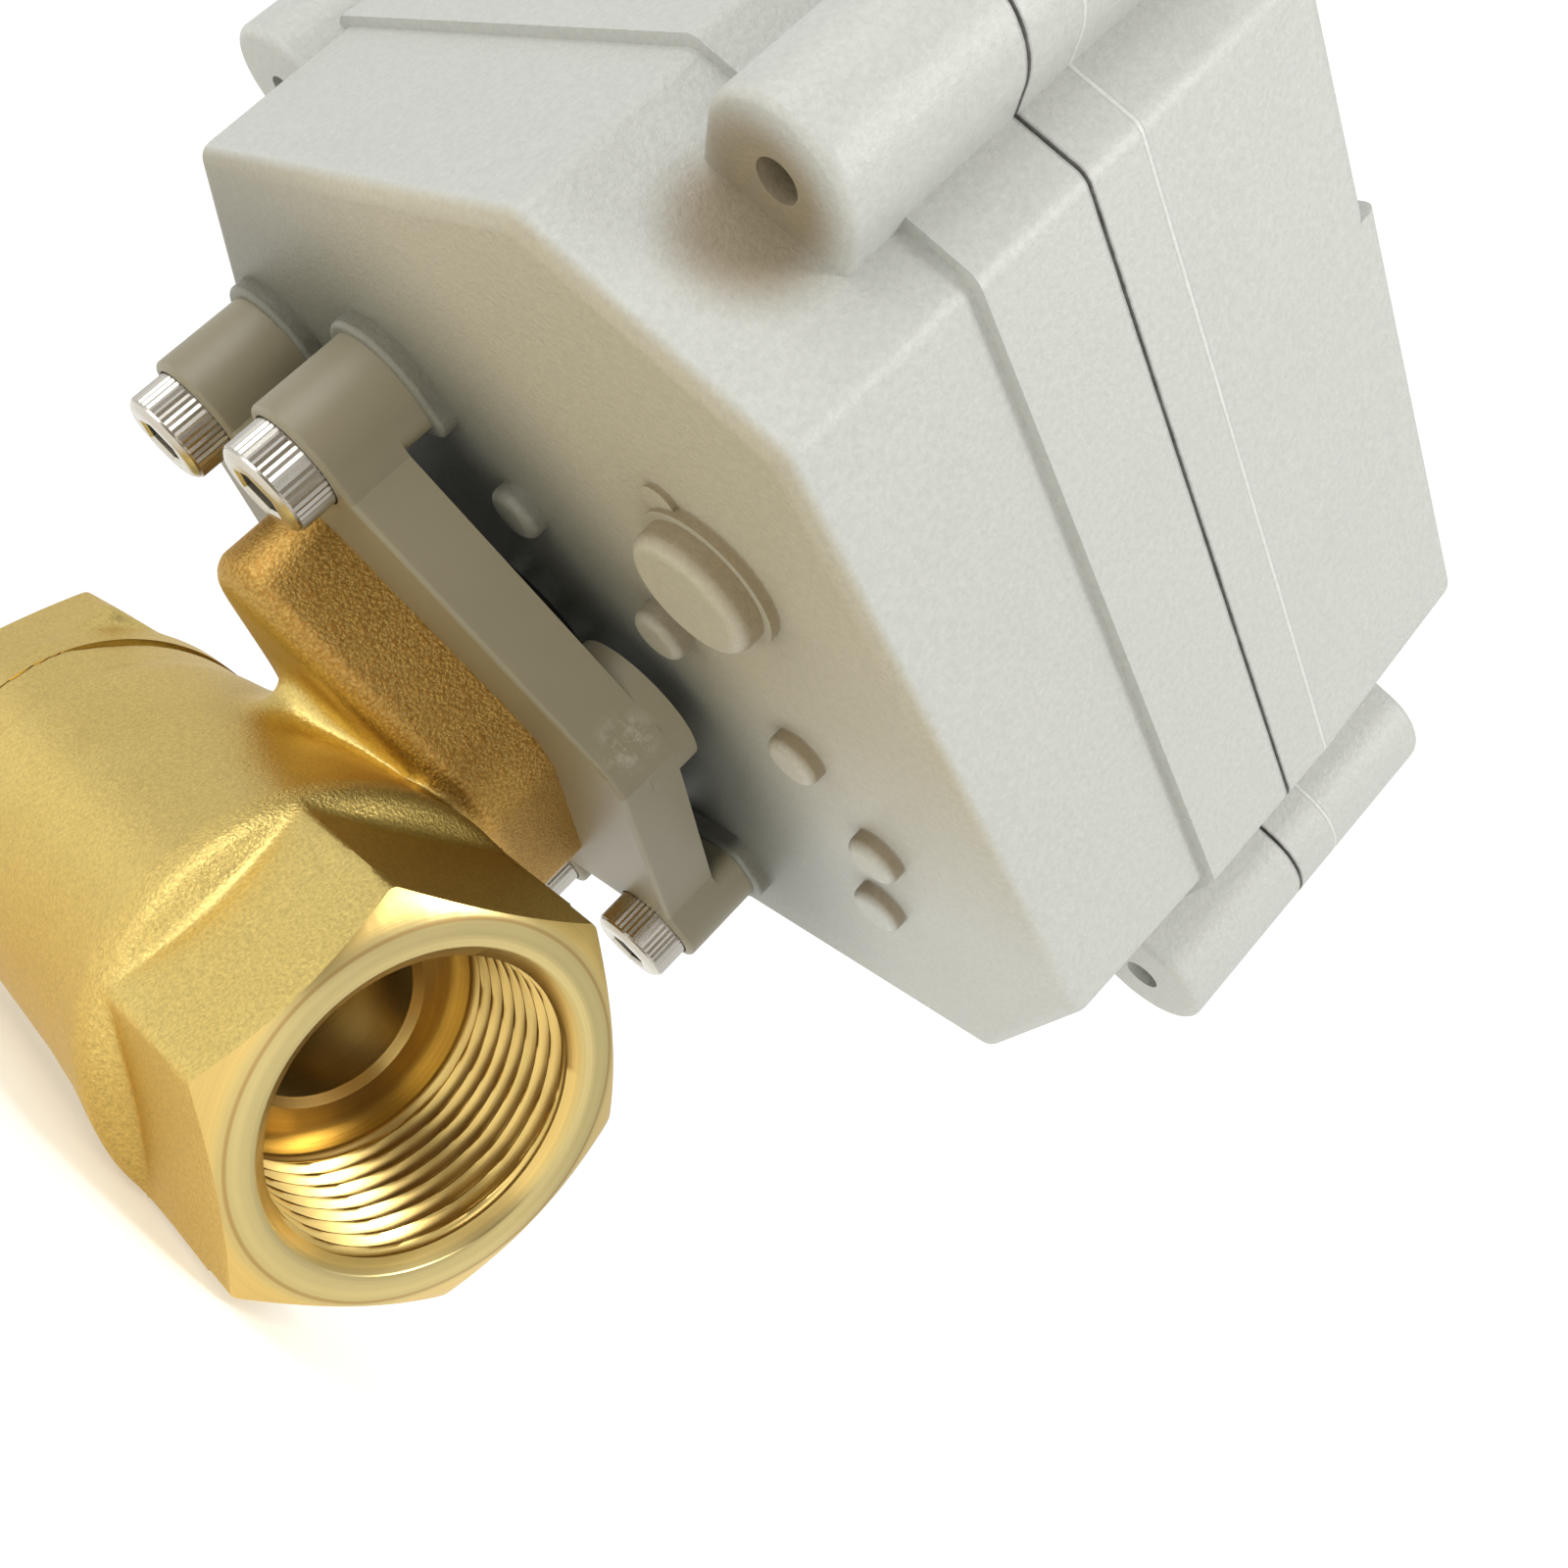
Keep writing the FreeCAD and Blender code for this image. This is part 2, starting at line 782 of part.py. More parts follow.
def stem():
    collar = post(stem_collar_r, stem_collar_z, stem_collar_z + stem_collar_h)
    round_top_z = pad_top_z + clear_gap
    shank = post(stem_r, stem_collar_z, round_top_z)
    half = tang_width / 2
    tang = box((-tang_length / 2, tang_length / 2), (-half, half),
               (stem_collar_z - tang_depth, stem_collar_z))
    side = stem_square / 2
    square = box((-side, side), (-side, side),
                 (round_top_z, round_top_z + stem_square_h))
    square = square.common(post(stem_r, round_top_z,
                                round_top_z + stem_square_h))
    groove_r = stem_r - o_ring_wire
    grooves = [tube(stem_r + 1, groove_r, z, z + o_ring_groove_w)
               for z in o_ring_levels()]
    return cut_all(fuse_all([collar, shank, tang, square]), grooves)


def o_ring_levels():
    return [o_ring_low_z, o_ring_low_z + o_ring_pitch]


def stem_o_rings():
    wire_r = o_ring_wire / 2
    middle_r = stem_r - o_ring_wire + wire_r + running_gap / 2
    return group([Part.makeTorus(middle_r, wire_r,
                                 Vector(0, 0, z + o_ring_groove_w / 2))
                  for z in o_ring_levels()])


def stem_thrust_washer():
    low = stem_collar_z + stem_collar_h
    return tube(stem_collar_r, stem_r + running_gap, low,
                low + thrust_washer_h)


# Bracket

def mounting_bracket():
    shoulder_x = column_x + column_r
    shoulder_y = column_y - column_flat
    half = [(plate_tip_x, -plate_tip_y), (plate_tip_x, plate_tip_y),
            (shoulder_x, shoulder_y), (shoulder_x, plate_end_y)]
    outline = half + [(-x, y) for x, y in reversed(half[1:])]
    outline = outline + [(-plate_tip_x, -plate_tip_y),
                         (-shoulder_x, -shoulder_y), (-shoulder_x, -plate_end_y),
                         (shoulder_x, -plate_end_y), (shoulder_x, -shoulder_y)]
    plate = prism(outline, plate_z, plate_top_z)
    columns = [column_outline(place, 0.0, plate_z, column_top_z)
               for place in bracket_screw_places()]
    bosses = [post(blind_boss_r, plate_z + plate_h / 2,
                   plate_top_z + blind_boss_h, (x, 0))
              for x in (-blind_boss_x, blind_boss_x)]
    solid = fuse_all([plate] + columns + bosses)
    solid = solid.makeFillet(bracket_edge_r, edges_at(solid, plate_z))
    holes = [post(bracket_bore_r, plate_z - 1, plate_top_z + 1)]
    for place in bracket_screw_places():
        holes.append(post(m5_r + clear_gap, plate_z, column_top_z + 1, place))
        holes.append(post(m5_head_r + seat_gap, plate_z - 1,
                          plate_z + m5_head_sink, place))
    head_seat = plate_top_z - m4_head_h - sliding_gap
    for y in (-pad_screw_y, pad_screw_y):
        holes.append(post(m4_r + clear_gap, plate_z - 1, plate_top_z, (0, y)))
        holes.append(post(m4_head_r + clear_gap, head_seat, plate_top_z + 1,
                          (0, y)))
    return cut_all(solid, holes)


def bracket_screws():
    seat = plate_z + m5_head_sink
    return group([socket_screw(m5_r, m5_length, m5_head_r, m5_head_h,
                               m5_socket, place, seat, True)
                  for place in bracket_screw_places()])


def pad_screws():
    seat = plate_top_z - m4_head_h - sliding_gap
    return group([socket_screw(m4_r, m4_length, m4_head_r, m4_head_h,
                               m4_socket, (0, y), seat, False)
                  for y in (-pad_screw_y, pad_screw_y)])


# Housing

def base_shell():
    lower = tapered(base_z, 0.0, ledge_z, base_draft)
    lower = lower.makeFillet(corner_r, upright_edges(lower, ledge_h))
    lower = lower.makeFillet(bottom_edge_r, edges_at(lower, base_z))
    rim = tapered(ledge_z, rim_out, rim_top_z, rim_out)
    rim = rim.makeFillet(corner_r, upright_edges(rim, rim_top_z - ledge_z))
    columns = []
    low = base_z + case_column_start
    for place, out in case_column_places():
        column = case_column(place, out, low, rim_top_z)
        columns.append(column.makeFillet(case_column_edge_r,
                                         edges_at(column, low)))
    return fuse_all([lower, rim] + columns)


def housing_cavity(z_low, z_high):
    return prism(grown(housing_outline(), -wall), z_low, z_high)


def floor_features():
    """Bosses that stand on the floor: bearing, screws, axles and posts."""
    boss_top = plate_z + m5_head_sink + m5_length + bracket_boss_spare
    shapes = [post(bearing_boss_r, base_z + 1, bearing_top_z - clear_gap)]
    for place in bracket_screw_places():
        shapes.append(post(bracket_boss_r, base_z + 1, boss_top, place))
    shapes.append(post(axle_boss_r, base_z + 1, output_gear_z - clear_gap,
                       second_axle))
    shapes.append(post(axle_boss_r, base_z + 1, middle_z - clear_gap,
                       first_axle))
    for place in gear_plate_posts:
        shapes.append(post(gear_plate_post_r, base_z + 1, gear_plate_z, place))
    for place in board_posts_on_floor():
        shapes.append(post(board_post_r, base_z + 1, board_z, place))
    return shapes


def round_ended_post(radius, edge_r, z_low, place):
    """A post down from the floor with a rounded lower end."""
    shape = post(radius, z_low, base_z + 1, place)
    return shape.makeFillet(edge_r, edges_at(shape, z_low))


def underside_features():
    """Feet, moulding pips and the two round ends under the floor."""
    shapes = []
    for place in bracket_screw_places():
        foot = column_outline(place, foot_out, foot_z, base_z + 1)
        shapes.append(foot.makeFillet(foot_edge_r, edges_at(foot, foot_z)))
    for place in pip_places + [second_axle, gear_plate_posts[1]]:
        shapes.append(round_ended_post(pip_r, pip_edge_r, base_z - pip_h,
                                       place))
    shapes.append(round_ended_post(pip_r, pip_edge_r, base_z - small_post_h,
                                   first_axle))
    shapes.append(round_ended_post(motor_post_r, motor_post_edge_r,
                                   base_z - motor_post_h, motor_axis))
    shapes.append(post(motor_post_ring_r, base_z - motor_post_ring_h,
                       base_z + 1, motor_axis))
    shapes.append(post(mark_r, base_z - mark_h, base_z + 1, mark_place))
    return shapes


def gasket_ring(out_gap, z_low, z_high):
    half = gasket_width / 2 + out_gap
    outer = prism(grown(housing_outline(), -wall / 2 + half),
                  z_low, z_high)
    inner = prism(grown(housing_outline(), -wall / 2 - half),
                  z_low - 1, z_high + 1)
    return outer.cut(inner)



def housing_base():
    shell = base_shell().cut(housing_cavity(floor_z, rim_top_z + 1))
    solid = fuse_all([shell] + floor_features() + underside_features())
    screw_top = plate_z + m5_head_sink + m5_length + running_gap
    holes = [post(shaft_r + clear_gap, foot_z, bearing_top_z + 1),
             post(bearing_r, base_z - 1, bearing_top_z + 1)]
    for place in bracket_screw_places():
        holes.append(post(m5_r + running_gap, foot_z - 1, screw_top, place))
    for place in (second_axle, first_axle):
        holes.append(post(axle_r, floor_z - axle_seat, middle_z, place))
    for place in gear_plate_posts:
        holes.append(post(m3_r + running_gap,
                          gear_plate_top_z - m3_length - clear_gap,
                          gear_plate_z + 1, place))
    for place in board_posts_on_floor():
        holes.append(post(m2_r + running_gap, board_z - m3_length,
                          board_z + 1, place))
    thread_end = case_screw_seat() - case_screw_length - clear_gap
    for place, _ in case_column_places():
        holes.append(post(m4_r + running_gap, thread_end, rim_top_z + 1, place))
        holes.append(post(core_hole_r, base_z, thread_end + 1, place))
    holes.append(gasket_ring(0.0, rim_top_z - gasket_depth, rim_top_z + 1))
    return cut_all(solid, holes)


def case_screw_seat():
    return case_column_top_z - case_counterbore


def cover_out(z):
    """How far the cover wall stands outside the bottom outline."""
    return rim_out - cover_draft * (z - ridge_z)


def cover_block(top_z):
    block = tapered(ridge_z, rim_out, top_z, cover_out(top_z))
    block = block.makeFillet(corner_r, upright_edges(block, top_z - ridge_z))
    return block.makeFillet(top_edge_r, edges_at(block, top_z))


def gland_wall_x():
    return side_x_minus - rim_out - gland_boss_out


def housing_cover():
    skirt = tapered(cover_z, rim_out, ridge_z, rim_out)
    skirt = skirt.makeFillet(corner_r, upright_edges(skirt, ridge_z - cover_z))
    far = 2 * port_length + side_x_plus
    raised = cover_block(cover_top_z).common(
        box((-far, far), (cover_step_y, far), (0, cover_top_z + 1)))
    columns = []
    for place, out in case_column_places():
        column = case_column(place, out, cover_z, case_column_top_z)
        columns.append(column.makeFillet(case_column_edge_r,
                                         edges_at(column, case_column_top_z)))
    boss = rod_x(gland_boss_r, gland_wall_x(), side_x_minus + wall, gland_y,
                 gland_z)
    solid = fuse_all([skirt, cover_block(cover_low_z), raised] + columns
                     + [boss])
    low_roof = cover_low_z - roof
    holes = [housing_cavity(cover_z - 1, low_roof),
             post(window_flange_r + clear_gap, low_roof - 1,
                  cover_top_z - roof),
             post(window_r + sliding_gap, low_roof, cover_top_z + 1),
             rod_x(gland_thread_r + clear_gap, gland_wall_x() - 1,
                   side_x_minus + wall + 1, gland_y, gland_z)]
    for place, _ in case_column_places():
        holes.append(post(m4_r + clear_gap, cover_z - 1, cover_top_z, place))
        holes.append(post(case_head_r + clear_gap, case_screw_seat(),
                          cover_top_z, place))
    return cut_all(solid, holes)


def case_gasket():
    return gasket_ring(-running_gap, rim_top_z - gasket_depth, cover_z)


def case_screws():
    return group([pan_screw(m4_r, case_screw_length, case_head_r, case_head_h,
                            place, case_screw_seat())
                  for place, _ in case_column_places()])


# Indicator

def window_levels():
    seal_top = cover_top_z - roof
    flange_top = seal_top - window_seal_h
    return flange_top - window_flange_h, flange_top, seal_top


def indicator_window():
    flange_low, flange_top, _ = window_levels()
    plug = post(window_r, flange_low, cover_top_z - clear_gap)
    return plug.fuse(post(window_flange_r, flange_low, flange_top)).removeSplitter()


def window_seal():
    _, flange_top, seal_top = window_levels()
    return tube(window_flange_r, window_r + running_gap, flange_top, seal_top)


def indicator_pointer():
    disc = post(pointer_r, pointer_z, pointer_top_z - pointer_h / 2)
    reach = pointer_r - pointer_rim
    half = pointer_bar_width / 2
    bar = box((-reach, reach), (-half, half), (pointer_z, pointer_top_z))
    tip = prism([(reach - pointer_head, -pointer_head), (reach, 0.0),
                 (reach - pointer_head, pointer_head)],
                pointer_z, pointer_top_z)
    spigot = post(pointer_spigot_r, pointer_z - pointer_spigot_h, pointer_z)
    return fuse_all([disc, bar, tip, spigot])


# Output shaft

def output_shaft():
    shoulder_z = gear_plate_top_z + clear_gap + clip_groove + clip_land
    thick = post(shaft_r, shaft_low_z, shoulder_z)
    thin = post(shaft_top_r, shoulder_z, pointer_z)
    side = stem_square / 2 + running_gap
    square_top = pad_top_z + clear_gap + stem_square_h + clear_gap
    socket = box((-side, side), (-side, side), (shaft_low_z - 1, square_top))
    groove = tube(shaft_r + 1, shaft_r - 1, clip_z(), clip_z() + clip_groove)
    pocket = post(pointer_spigot_r, pointer_z - pointer_spigot_h,
                  pointer_z + 1)
    return cut_all(thick.fuse(thin).removeSplitter(), [socket, groove, pocket])


def clip_z():
    return gear_plate_top_z + clear_gap


def shaft_clip():
    low = clip_z() + (clip_groove - clip_wire) / 2
    ring = tube(clip_r, shaft_r - 1, low, low + clip_wire)
    mouth = box((0, clip_r + 1), (-clip_open / 2, clip_open / 2),
                (low - 1, low + clip_wire + 1))
    return ring.cut(mouth)


def output_gear():
    hub = post(sector_hub_r, output_gear_z, middle_z - clear_gap)
    bore = post(shaft_r, output_gear_z - 1, middle_z)
    return fuse_all([gear_sector(), hub]).cut(bore)


def shaft_seal():
    return tube(bearing_r, shaft_r + running_gap, base_z,
                base_z + shaft_seal_h)


def lower_bushing():
    return tube(bearing_r, shaft_r + running_gap, base_z + shaft_seal_h,
                bearing_top_z)


def upper_bushing():
    return tube(bearing_r, shaft_r + running_gap, gear_plate_z,
                gear_plate_top_z)


# Gear train

def gear_plate_circles():
    """Anticlockwise round the plate: posts, motor and the shaft side."""
    ear = motor_ears()[1]
    right, side, front = (gear_plate_posts[1], gear_plate_posts[2],
                          gear_plate_posts[3])
    return [(front[0], front[1], gear_plate_edge),
            (ear[0], ear[1], motor_ear_r),
            (motor_axis[0], motor_axis[1], motor_r + motor_edge),
            (side[0], side[1], gear_plate_side_edge),
            (right[0], right[1], gear_plate_edge),
            (gear_plate_posts[0][0], gear_plate_posts[0][1], gear_plate_edge),
            (-bearing_r, -bearing_r, gear_plate_edge)]


def gear_plate():
    plate = hull_prism(gear_plate_circles(), gear_plate_z, gear_plate_top_z)
    standoffs = [post(board_post_r, gear_plate_z, board_z, place)
                 for place in board_posts_on_plate()]
    standoffs += [post(m2_r * 2, gear_plate_z, switch_z, place)
                  for place in switch_screw_places()]
    holes = [post(bearing_r, gear_plate_z - 1, gear_plate_top_z + 1),
             post(axle_r, gear_plate_z - 1, gear_plate_top_z + 1, second_axle),
             post(axle_r, gear_plate_z - 1, gear_plate_top_z + 1, first_axle),
             post(motor_spigot_r + sliding_gap, gear_plate_z - 1,
                  gear_plate_top_z + 1, motor_axis)]
    for place in gear_plate_posts:
        holes.append(post(m3_r + clear_gap, gear_plate_z - 1,
                          gear_plate_top_z + 1, place))
    for place in motor_ears():
        holes.append(post(m2_r + running_gap, gear_plate_z - 1,
                          gear_plate_top_z + 1, place))
    for place in switch_screw_places():
        holes.append(post(m2_r + running_gap, gear_plate_z - 1, board_z + 1,
                          place))
    for place in board_posts_on_plate():
        holes.append(post(m2_r + running_gap, gear_plate_z - 1, board_z + 1,
                          place))
    return cut_all(fuse_all([plate] + standoffs), holes)


def gear_plate_screws():
    return group([pan_screw(m3_r, m3_length, m3_head_r, m3_head_h, place,
                            gear_plate_top_z)
                  for place in gear_plate_posts])


def second_gear():
    """The pinion that drives the sector, with its larger wheel above."""
    low = pinion(output_module, output_pinion_teeth, output_gear_z, middle_z,
                 second_axle, second_axle_angle + 180)
    wheel = spur_gear(middle_module, middle_wheel_teeth, wheel_addendum,
                      middle_z, middle_z + wheel_h, second_axle,
                      first_axle_angle)
    hub = post(axle_r * 2, middle_z, gear_plate_z - clear_gap, second_axle)
    bore = post(axle_r + running_gap, output_gear_z - 1, gear_plate_z,
                second_axle)
    return fuse_all([low, wheel, hub]).cut(bore)


def first_gear():
    """The middle pinion with the fast wheel that the motor turns."""
    low = pinion(middle_module, middle_pinion_teeth, middle_z, fast_z,
                 first_axle, first_axle_angle + 180)
    wheel = spur_gear(fast_module, fast_wheel_teeth, wheel_addendum, fast_z,
                      fast_z + fast_wheel_h, first_axle, motor_axis_angle)
    hub = post(axle_r * 2, fast_z, gear_plate_z - clear_gap, first_axle)
    bore = post(axle_r + running_gap, middle_z - 1, gear_plate_z, first_axle)
    return fuse_all([low, wheel, hub]).cut(bore)


def gear_axle(place):
    return post(axle_r, floor_z - axle_seat, gear_plate_top_z, place)


# Motor

def motor_ears():
    return [at_angle(motor_axis, motor_ear_reach, motor_ear_angle),
            at_angle(motor_axis, motor_ear_reach, motor_ear_angle + 180)]


def motor():
    can = post(motor_r, gear_plate_top_z, gear_plate_top_z + motor_h,
               motor_axis)
    can = can.makeFillet(motor_edge_r,
                         edges_at(can, gear_plate_top_z + motor_h))
    first, second = motor_ears()
    flange = hull_prism([(first[0], first[1], motor_ear_r),
                         (second[0], second[1], motor_ear_r)],
                        gear_plate_top_z, gear_plate_top_z + motor_ear_h)
    spigot = post(motor_spigot_r, gear_plate_z, gear_plate_top_z, motor_axis)
    low, high = armature_levels()
    holes = [post(axle_r + running_gap, gear_plate_z - 1,
                  motor_shaft_top() + running_gap, motor_axis),
             post(armature_r + clear_gap, low - clear_gap, high + clear_gap,
                  motor_axis)]
    for place in motor_ears():
        holes.append(post(m2_r + running_gap, gear_plate_z,
                          gear_plate_top_z + motor_ear_h + 1, place))
    return cut_all(fuse_all([can, flange, spigot]), holes)


def armature_levels():
    low = gear_plate_top_z + armature_floor
    return low, low + armature_h


def motor_shaft_top():
    return armature_levels()[1] + motor_top_bearing


def motor_armature():
    """The wound core that turns on the motor shaft inside the can."""
    low, high = armature_levels()
    return tube(armature_r, axle_r, low, high, motor_axis)


def motor_screws():
    seat = gear_plate_top_z + motor_ear_h
    return group([pan_screw(m2_r, motor_ear_h + gear_plate_h, m2_head_r,
                            m2_head_h, place, seat)
                  for place in motor_ears()])


def motor_pinion():
    toothed = pinion(fast_module, fast_pinion_teeth, fast_z - clear_gap,
                     gear_plate_z - clear_gap, motor_axis,
                     motor_axis_angle + 180)
    return toothed.cut(post(axle_r, fast_z - 1, gear_plate_z, motor_axis))


def motor_shaft():
    return post(axle_r, fast_z - clear_gap, motor_shaft_top(), motor_axis)


# Cams and limit switches

def switch_face_y():
    return cam_lobe_r + clear_gap + switch_gap


def cam(level, lobe_angle):
    low = switch_z + level * switch_h + (switch_h - cam_h) / 2
    half = math.radians(cam_lobe_angle / 2)
    middle = math.radians(lobe_angle)
    reach = 2 * cam_lobe_r
    wedge = prism([(0, 0),
                   (reach * math.cos(middle - half),
                    reach * math.sin(middle - half)),
                   (reach * math.cos(middle + half),
                    reach * math.sin(middle + half))], low, low + cam_h)
    lobe = post(cam_lobe_r, low, low + cam_h).common(wedge)
    disc = post(cam_base_r, low, low + cam_h)
    bore = post(shaft_top_r, low - 1, low + cam_h + 1)
    return fuse_all([disc, lobe]).cut(bore)


def lever_pin():
    return (lever_pin_x, switch_face_y() - lever_barrel_r / 2)


def limit_switch(level):
    low = switch_z + level * switch_h
    face = switch_face_y()
    half = switch_length / 2
    case = box((-half, half), (face, face + switch_depth),
               (low, low + switch_h))
    notch = post(lever_barrel_r + running_gap, low - 1, low + switch_h + 1,
                 lever_pin())
    mouth = box((lever_pin_x - lever_barrel_r - running_gap,
                 lever_pin_x + lever_barrel_r + running_gap),
                (face - 1, lever_pin()[1]), (low - 1, low + switch_h + 1))
    plunger = Part.makeCylinder(plunger_r, plunger_h + 1,
                                Vector(plunger_x, face - plunger_h,
                                       low + switch_h / 2),
                                Vector(0, 1, 0))
    holes = [notch, mouth]
    for place in switch_screw_places():
        holes.append(post(m2_r + running_gap, low - 1, low + switch_h + 1,
                          place))
    return cut_all(fuse_all([case, plunger]), holes)


def switch_screw_places():
    y = switch_face_y() + switch_depth / 2
    return [(-switch_hole_x, y), (switch_hole_x, y)]


def switch_lever(level):
    middle = switch_z + (level + 0.5) * switch_h
    span = (middle - lever_h / 2, middle + lever_h / 2)
    strip_y = cam_lobe_r + clear_gap
    pin = lever_pin()
    strip = box((pin[0] - lever_reach, pin[0] + lever_thick),
                (strip_y, strip_y + lever_thick), span)
    web = box((pin[0] - lever_thick, pin[0] + lever_thick),
              (strip_y, pin[1]), span)
    barrel = post(lever_barrel_r, span[0], span[1], pin)
    return fuse_all([strip, web, barrel])


def switch_screws():
    seat = switch_z + 2 * switch_h
    length = 2 * switch_h + switch_standoff
    return group([pan_screw(m2_r, length, m2_head_r, m2_head_h, place, seat)
                  for place in switch_screw_places()])


# Circuit board

def board_posts_on_plate():
    y = board_y[0] + board_hole_inset
    return [(board_x[0] + board_hole_inset, y),
            (board_x[1] - board_hole_inset, y)]


def board_posts_on_floor():
    y = board_y[1] - board_hole_inset
    return [(board_x[0] + board_hole_inset, y),
            (board_x[1] - board_hole_inset, y)]


def circuit_board():
    board = box(board_x, board_y, (board_z, board_z + board_h))
    holes = [post(m2_r + running_gap, board_z - 1, board_z + board_h + 1, place)
             for place in board_posts_on_plate() + board_posts_on_floor()]
    return cut_all(board, holes)


def board_screws():
    return group([pan_screw(m2_r, board_h + board_screw_grip, m2_head_r,
                            m2_head_h, place, board_z + board_h)
                  for place in board_posts_on_plate() + board_posts_on_floor()])


def terminal_block():
    middle = (board_x[0] + board_x[1]) / 2
    low = board_z + board_h
    back = board_y[1] - terminal_inset
    block = box((middle - terminal_length / 2, middle + terminal_length / 2),
                (back - terminal_depth, back), (low, low + terminal_h))
    pitch = terminal_length / terminal_ways
    holes = []
    for index in range(terminal_ways):
        x = middle - terminal_length / 2 + pitch * (index + 0.5)
        holes.append(post(terminal_screw_r, low + terminal_h - terminal_sink,
                          low + terminal_h + 1, (x, back - terminal_depth / 2)))
        holes.append(box((x - terminal_screw_r, x + terminal_screw_r),
                         (back - terminal_depth - 1,
                          back - terminal_depth + terminal_mouth_depth),
                         (low + terminal_sill,
                          low + terminal_sill + 2 * terminal_screw_r)))
    return cut_all(block, holes)


def motor_capacitor():
    low = board_z + board_h
    can = post(capacitor_r, low, low + capacitor_h, capacitor_place)
    return can.makeFillet(capacitor_edge_r, edges_at(can, low + capacitor_h))


# Cable gland

def gland_x():
    """Outer face of the gland gasket."""
    return gland_wall_x() - gland_gasket_h


def gland_gasket():
    return tube_x(gland_hex / 2, gland_thread_r + running_gap, gland_x(),
                  gland_wall_x(), gland_y, gland_z)


def gland_inner_wall():
    return side_x_minus + wall


def gland_body():
    inner_end = gland_inner_wall() + gland_locknut_h + gland_grip
    hex_end = gland_x() - gland_hex_h
    neck_end = hex_end - gland_neck_h
    thread = rod_x(gland_thread_r, gland_x(), inner_end, gland_y, gland_z)
    hexagon = hex_bar_x(gland_hex, hex_end, gland_hex, gland_x(), 0.0, gland_y,
                        gland_z)
    neck = rod_x(gland_neck_r, neck_end, hex_end, gland_y, gland_z)
    bore = rod_x(gland_bore_r, neck_end - 1, inner_end + 1, gland_y, gland_z)
    pocket = rod_x(gland_seal_r + running_gap, neck_end - 1,
                   neck_end + gland_seal_h, gland_y, gland_z)
    return cut_all(fuse_all([thread, hexagon, neck]), [bore, pocket])


def gland_locknut():
    low = gland_inner_wall()
    nut = hex_bar_x(gland_locknut_hex, low, gland_locknut_hex,
                    low + gland_locknut_h, 0.0, gland_y, gland_z)
    return nut.cut(rod_x(gland_thread_r + running_gap, low - 1,
                         low + gland_locknut_h + 1, gland_y, gland_z))


def gland_seal():
    outer_end = gland_x() - gland_hex_h - gland_neck_h
    return tube_x(gland_seal_r, cable_r, outer_end, outer_end + gland_seal_h,
                  gland_y, gland_z)


def gland_nut():
    high = gland_x() - gland_hex_h - clear_gap
    inner = gland_x() - gland_hex_h - gland_neck_h
    low = inner - gland_nut_wall
    nut = hex_bar_x(gland_hex, low, gland_hex, high, 0.0, gland_y, gland_z)
    corner = gland_hex / 2 / math.cos(math.radians(30))
    dome = revolve_x([(low, 0), (low, gland_hex / 2 - gland_nose),
                      (low + gland_dome, corner), (high, corner), (high, 0)])
    dome.translate(Vector(0, gland_y, gland_z))
    hollow = rod_x(gland_neck_r + running_gap, inner, high + 1, gland_y,
                   gland_z)
    mouth = rod_x(cable_r + clear_gap, low - 1, inner + 1, gland_y, gland_z)
    return cut_all(nut.common(dome), [hollow, mouth])


def all_parts():
    """Every node with its shape."""
    return {
        "valve_body": valve_body(),
        "end_cap": end_cap(),
        "end_cap_seal": end_cap_seal(),
        "seat_ring_near": seat_ring(1),
        "seat_ring_far": seat_ring(-1),
        "ball": ball(),
        "stem": stem(),
        "stem_thrust_washer": stem_thrust_washer(),
        "stem_o_rings": stem_o_rings(),
        "mounting_bracket": mounting_bracket(),
        "bracket_screws": bracket_screws(),
        "pad_screws": pad_screws(),
        "housing_base": housing_base(),
        "housing_cover": housing_cover(),
        "case_gasket": case_gasket(),
        "case_screws": case_screws(),
        "indicator_window": indicator_window(),
        "window_seal": window_seal(),
        "indicator_pointer": indicator_pointer(),
        "output_shaft": output_shaft(),
        "output_gear": output_gear(),
        "shaft_seal": shaft_seal(),
        "lower_bushing": lower_bushing(),
        "upper_bushing": upper_bushing(),
        "shaft_clip": shaft_clip(),
        "gear_plate": gear_plate(),
        "gear_plate_screws": gear_plate_screws(),
        "second_gear": second_gear(),
        "second_gear_axle": gear_axle(second_axle),
        "first_gear": first_gear(),
        "first_gear_axle": gear_axle(first_axle),
        "motor": motor(),
        "motor_screws": motor_screws(),
        "motor_pinion": motor_pinion(),
        "motor_shaft": motor_shaft(),
        "motor_armature": motor_armature(),
        "motor_capacitor": motor_capacitor(),
        "lower_cam": cam(0, 90.0),
        "upper_cam": cam(1, 90.0 - travel),
        "closed_switch": limit_switch(0),
        "open_switch": limit_switch(1),
        "closed_switch_lever": switch_lever(0),
        "open_switch_lever": switch_lever(1),
        "switch_screws": switch_screws(),
        "circuit_board": circuit_board(),
        "board_screws": board_screws(),
        "terminal_block": terminal_block(),
        "gland_body": gland_body(),
        "gland_gasket": gland_gasket(),
        "gland_locknut": gland_locknut(),
        "gland_seal": gland_seal(),
        "gland_nut": gland_nut(),
    }


def main():
    os.makedirs("parts", exist_ok=True)
    for node, shape in all_parts().items():
        if not shape.isValid():
            raise ValueError(node + " is not a valid solid")
        shape.exportStep("parts/" + node + ".step")
        print(node, len(shape.Solids), round(shape.Volume, 1))


main()
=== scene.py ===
import math

import bmesh
import bpy
import numpy as np
from mathutils import Matrix, Vector


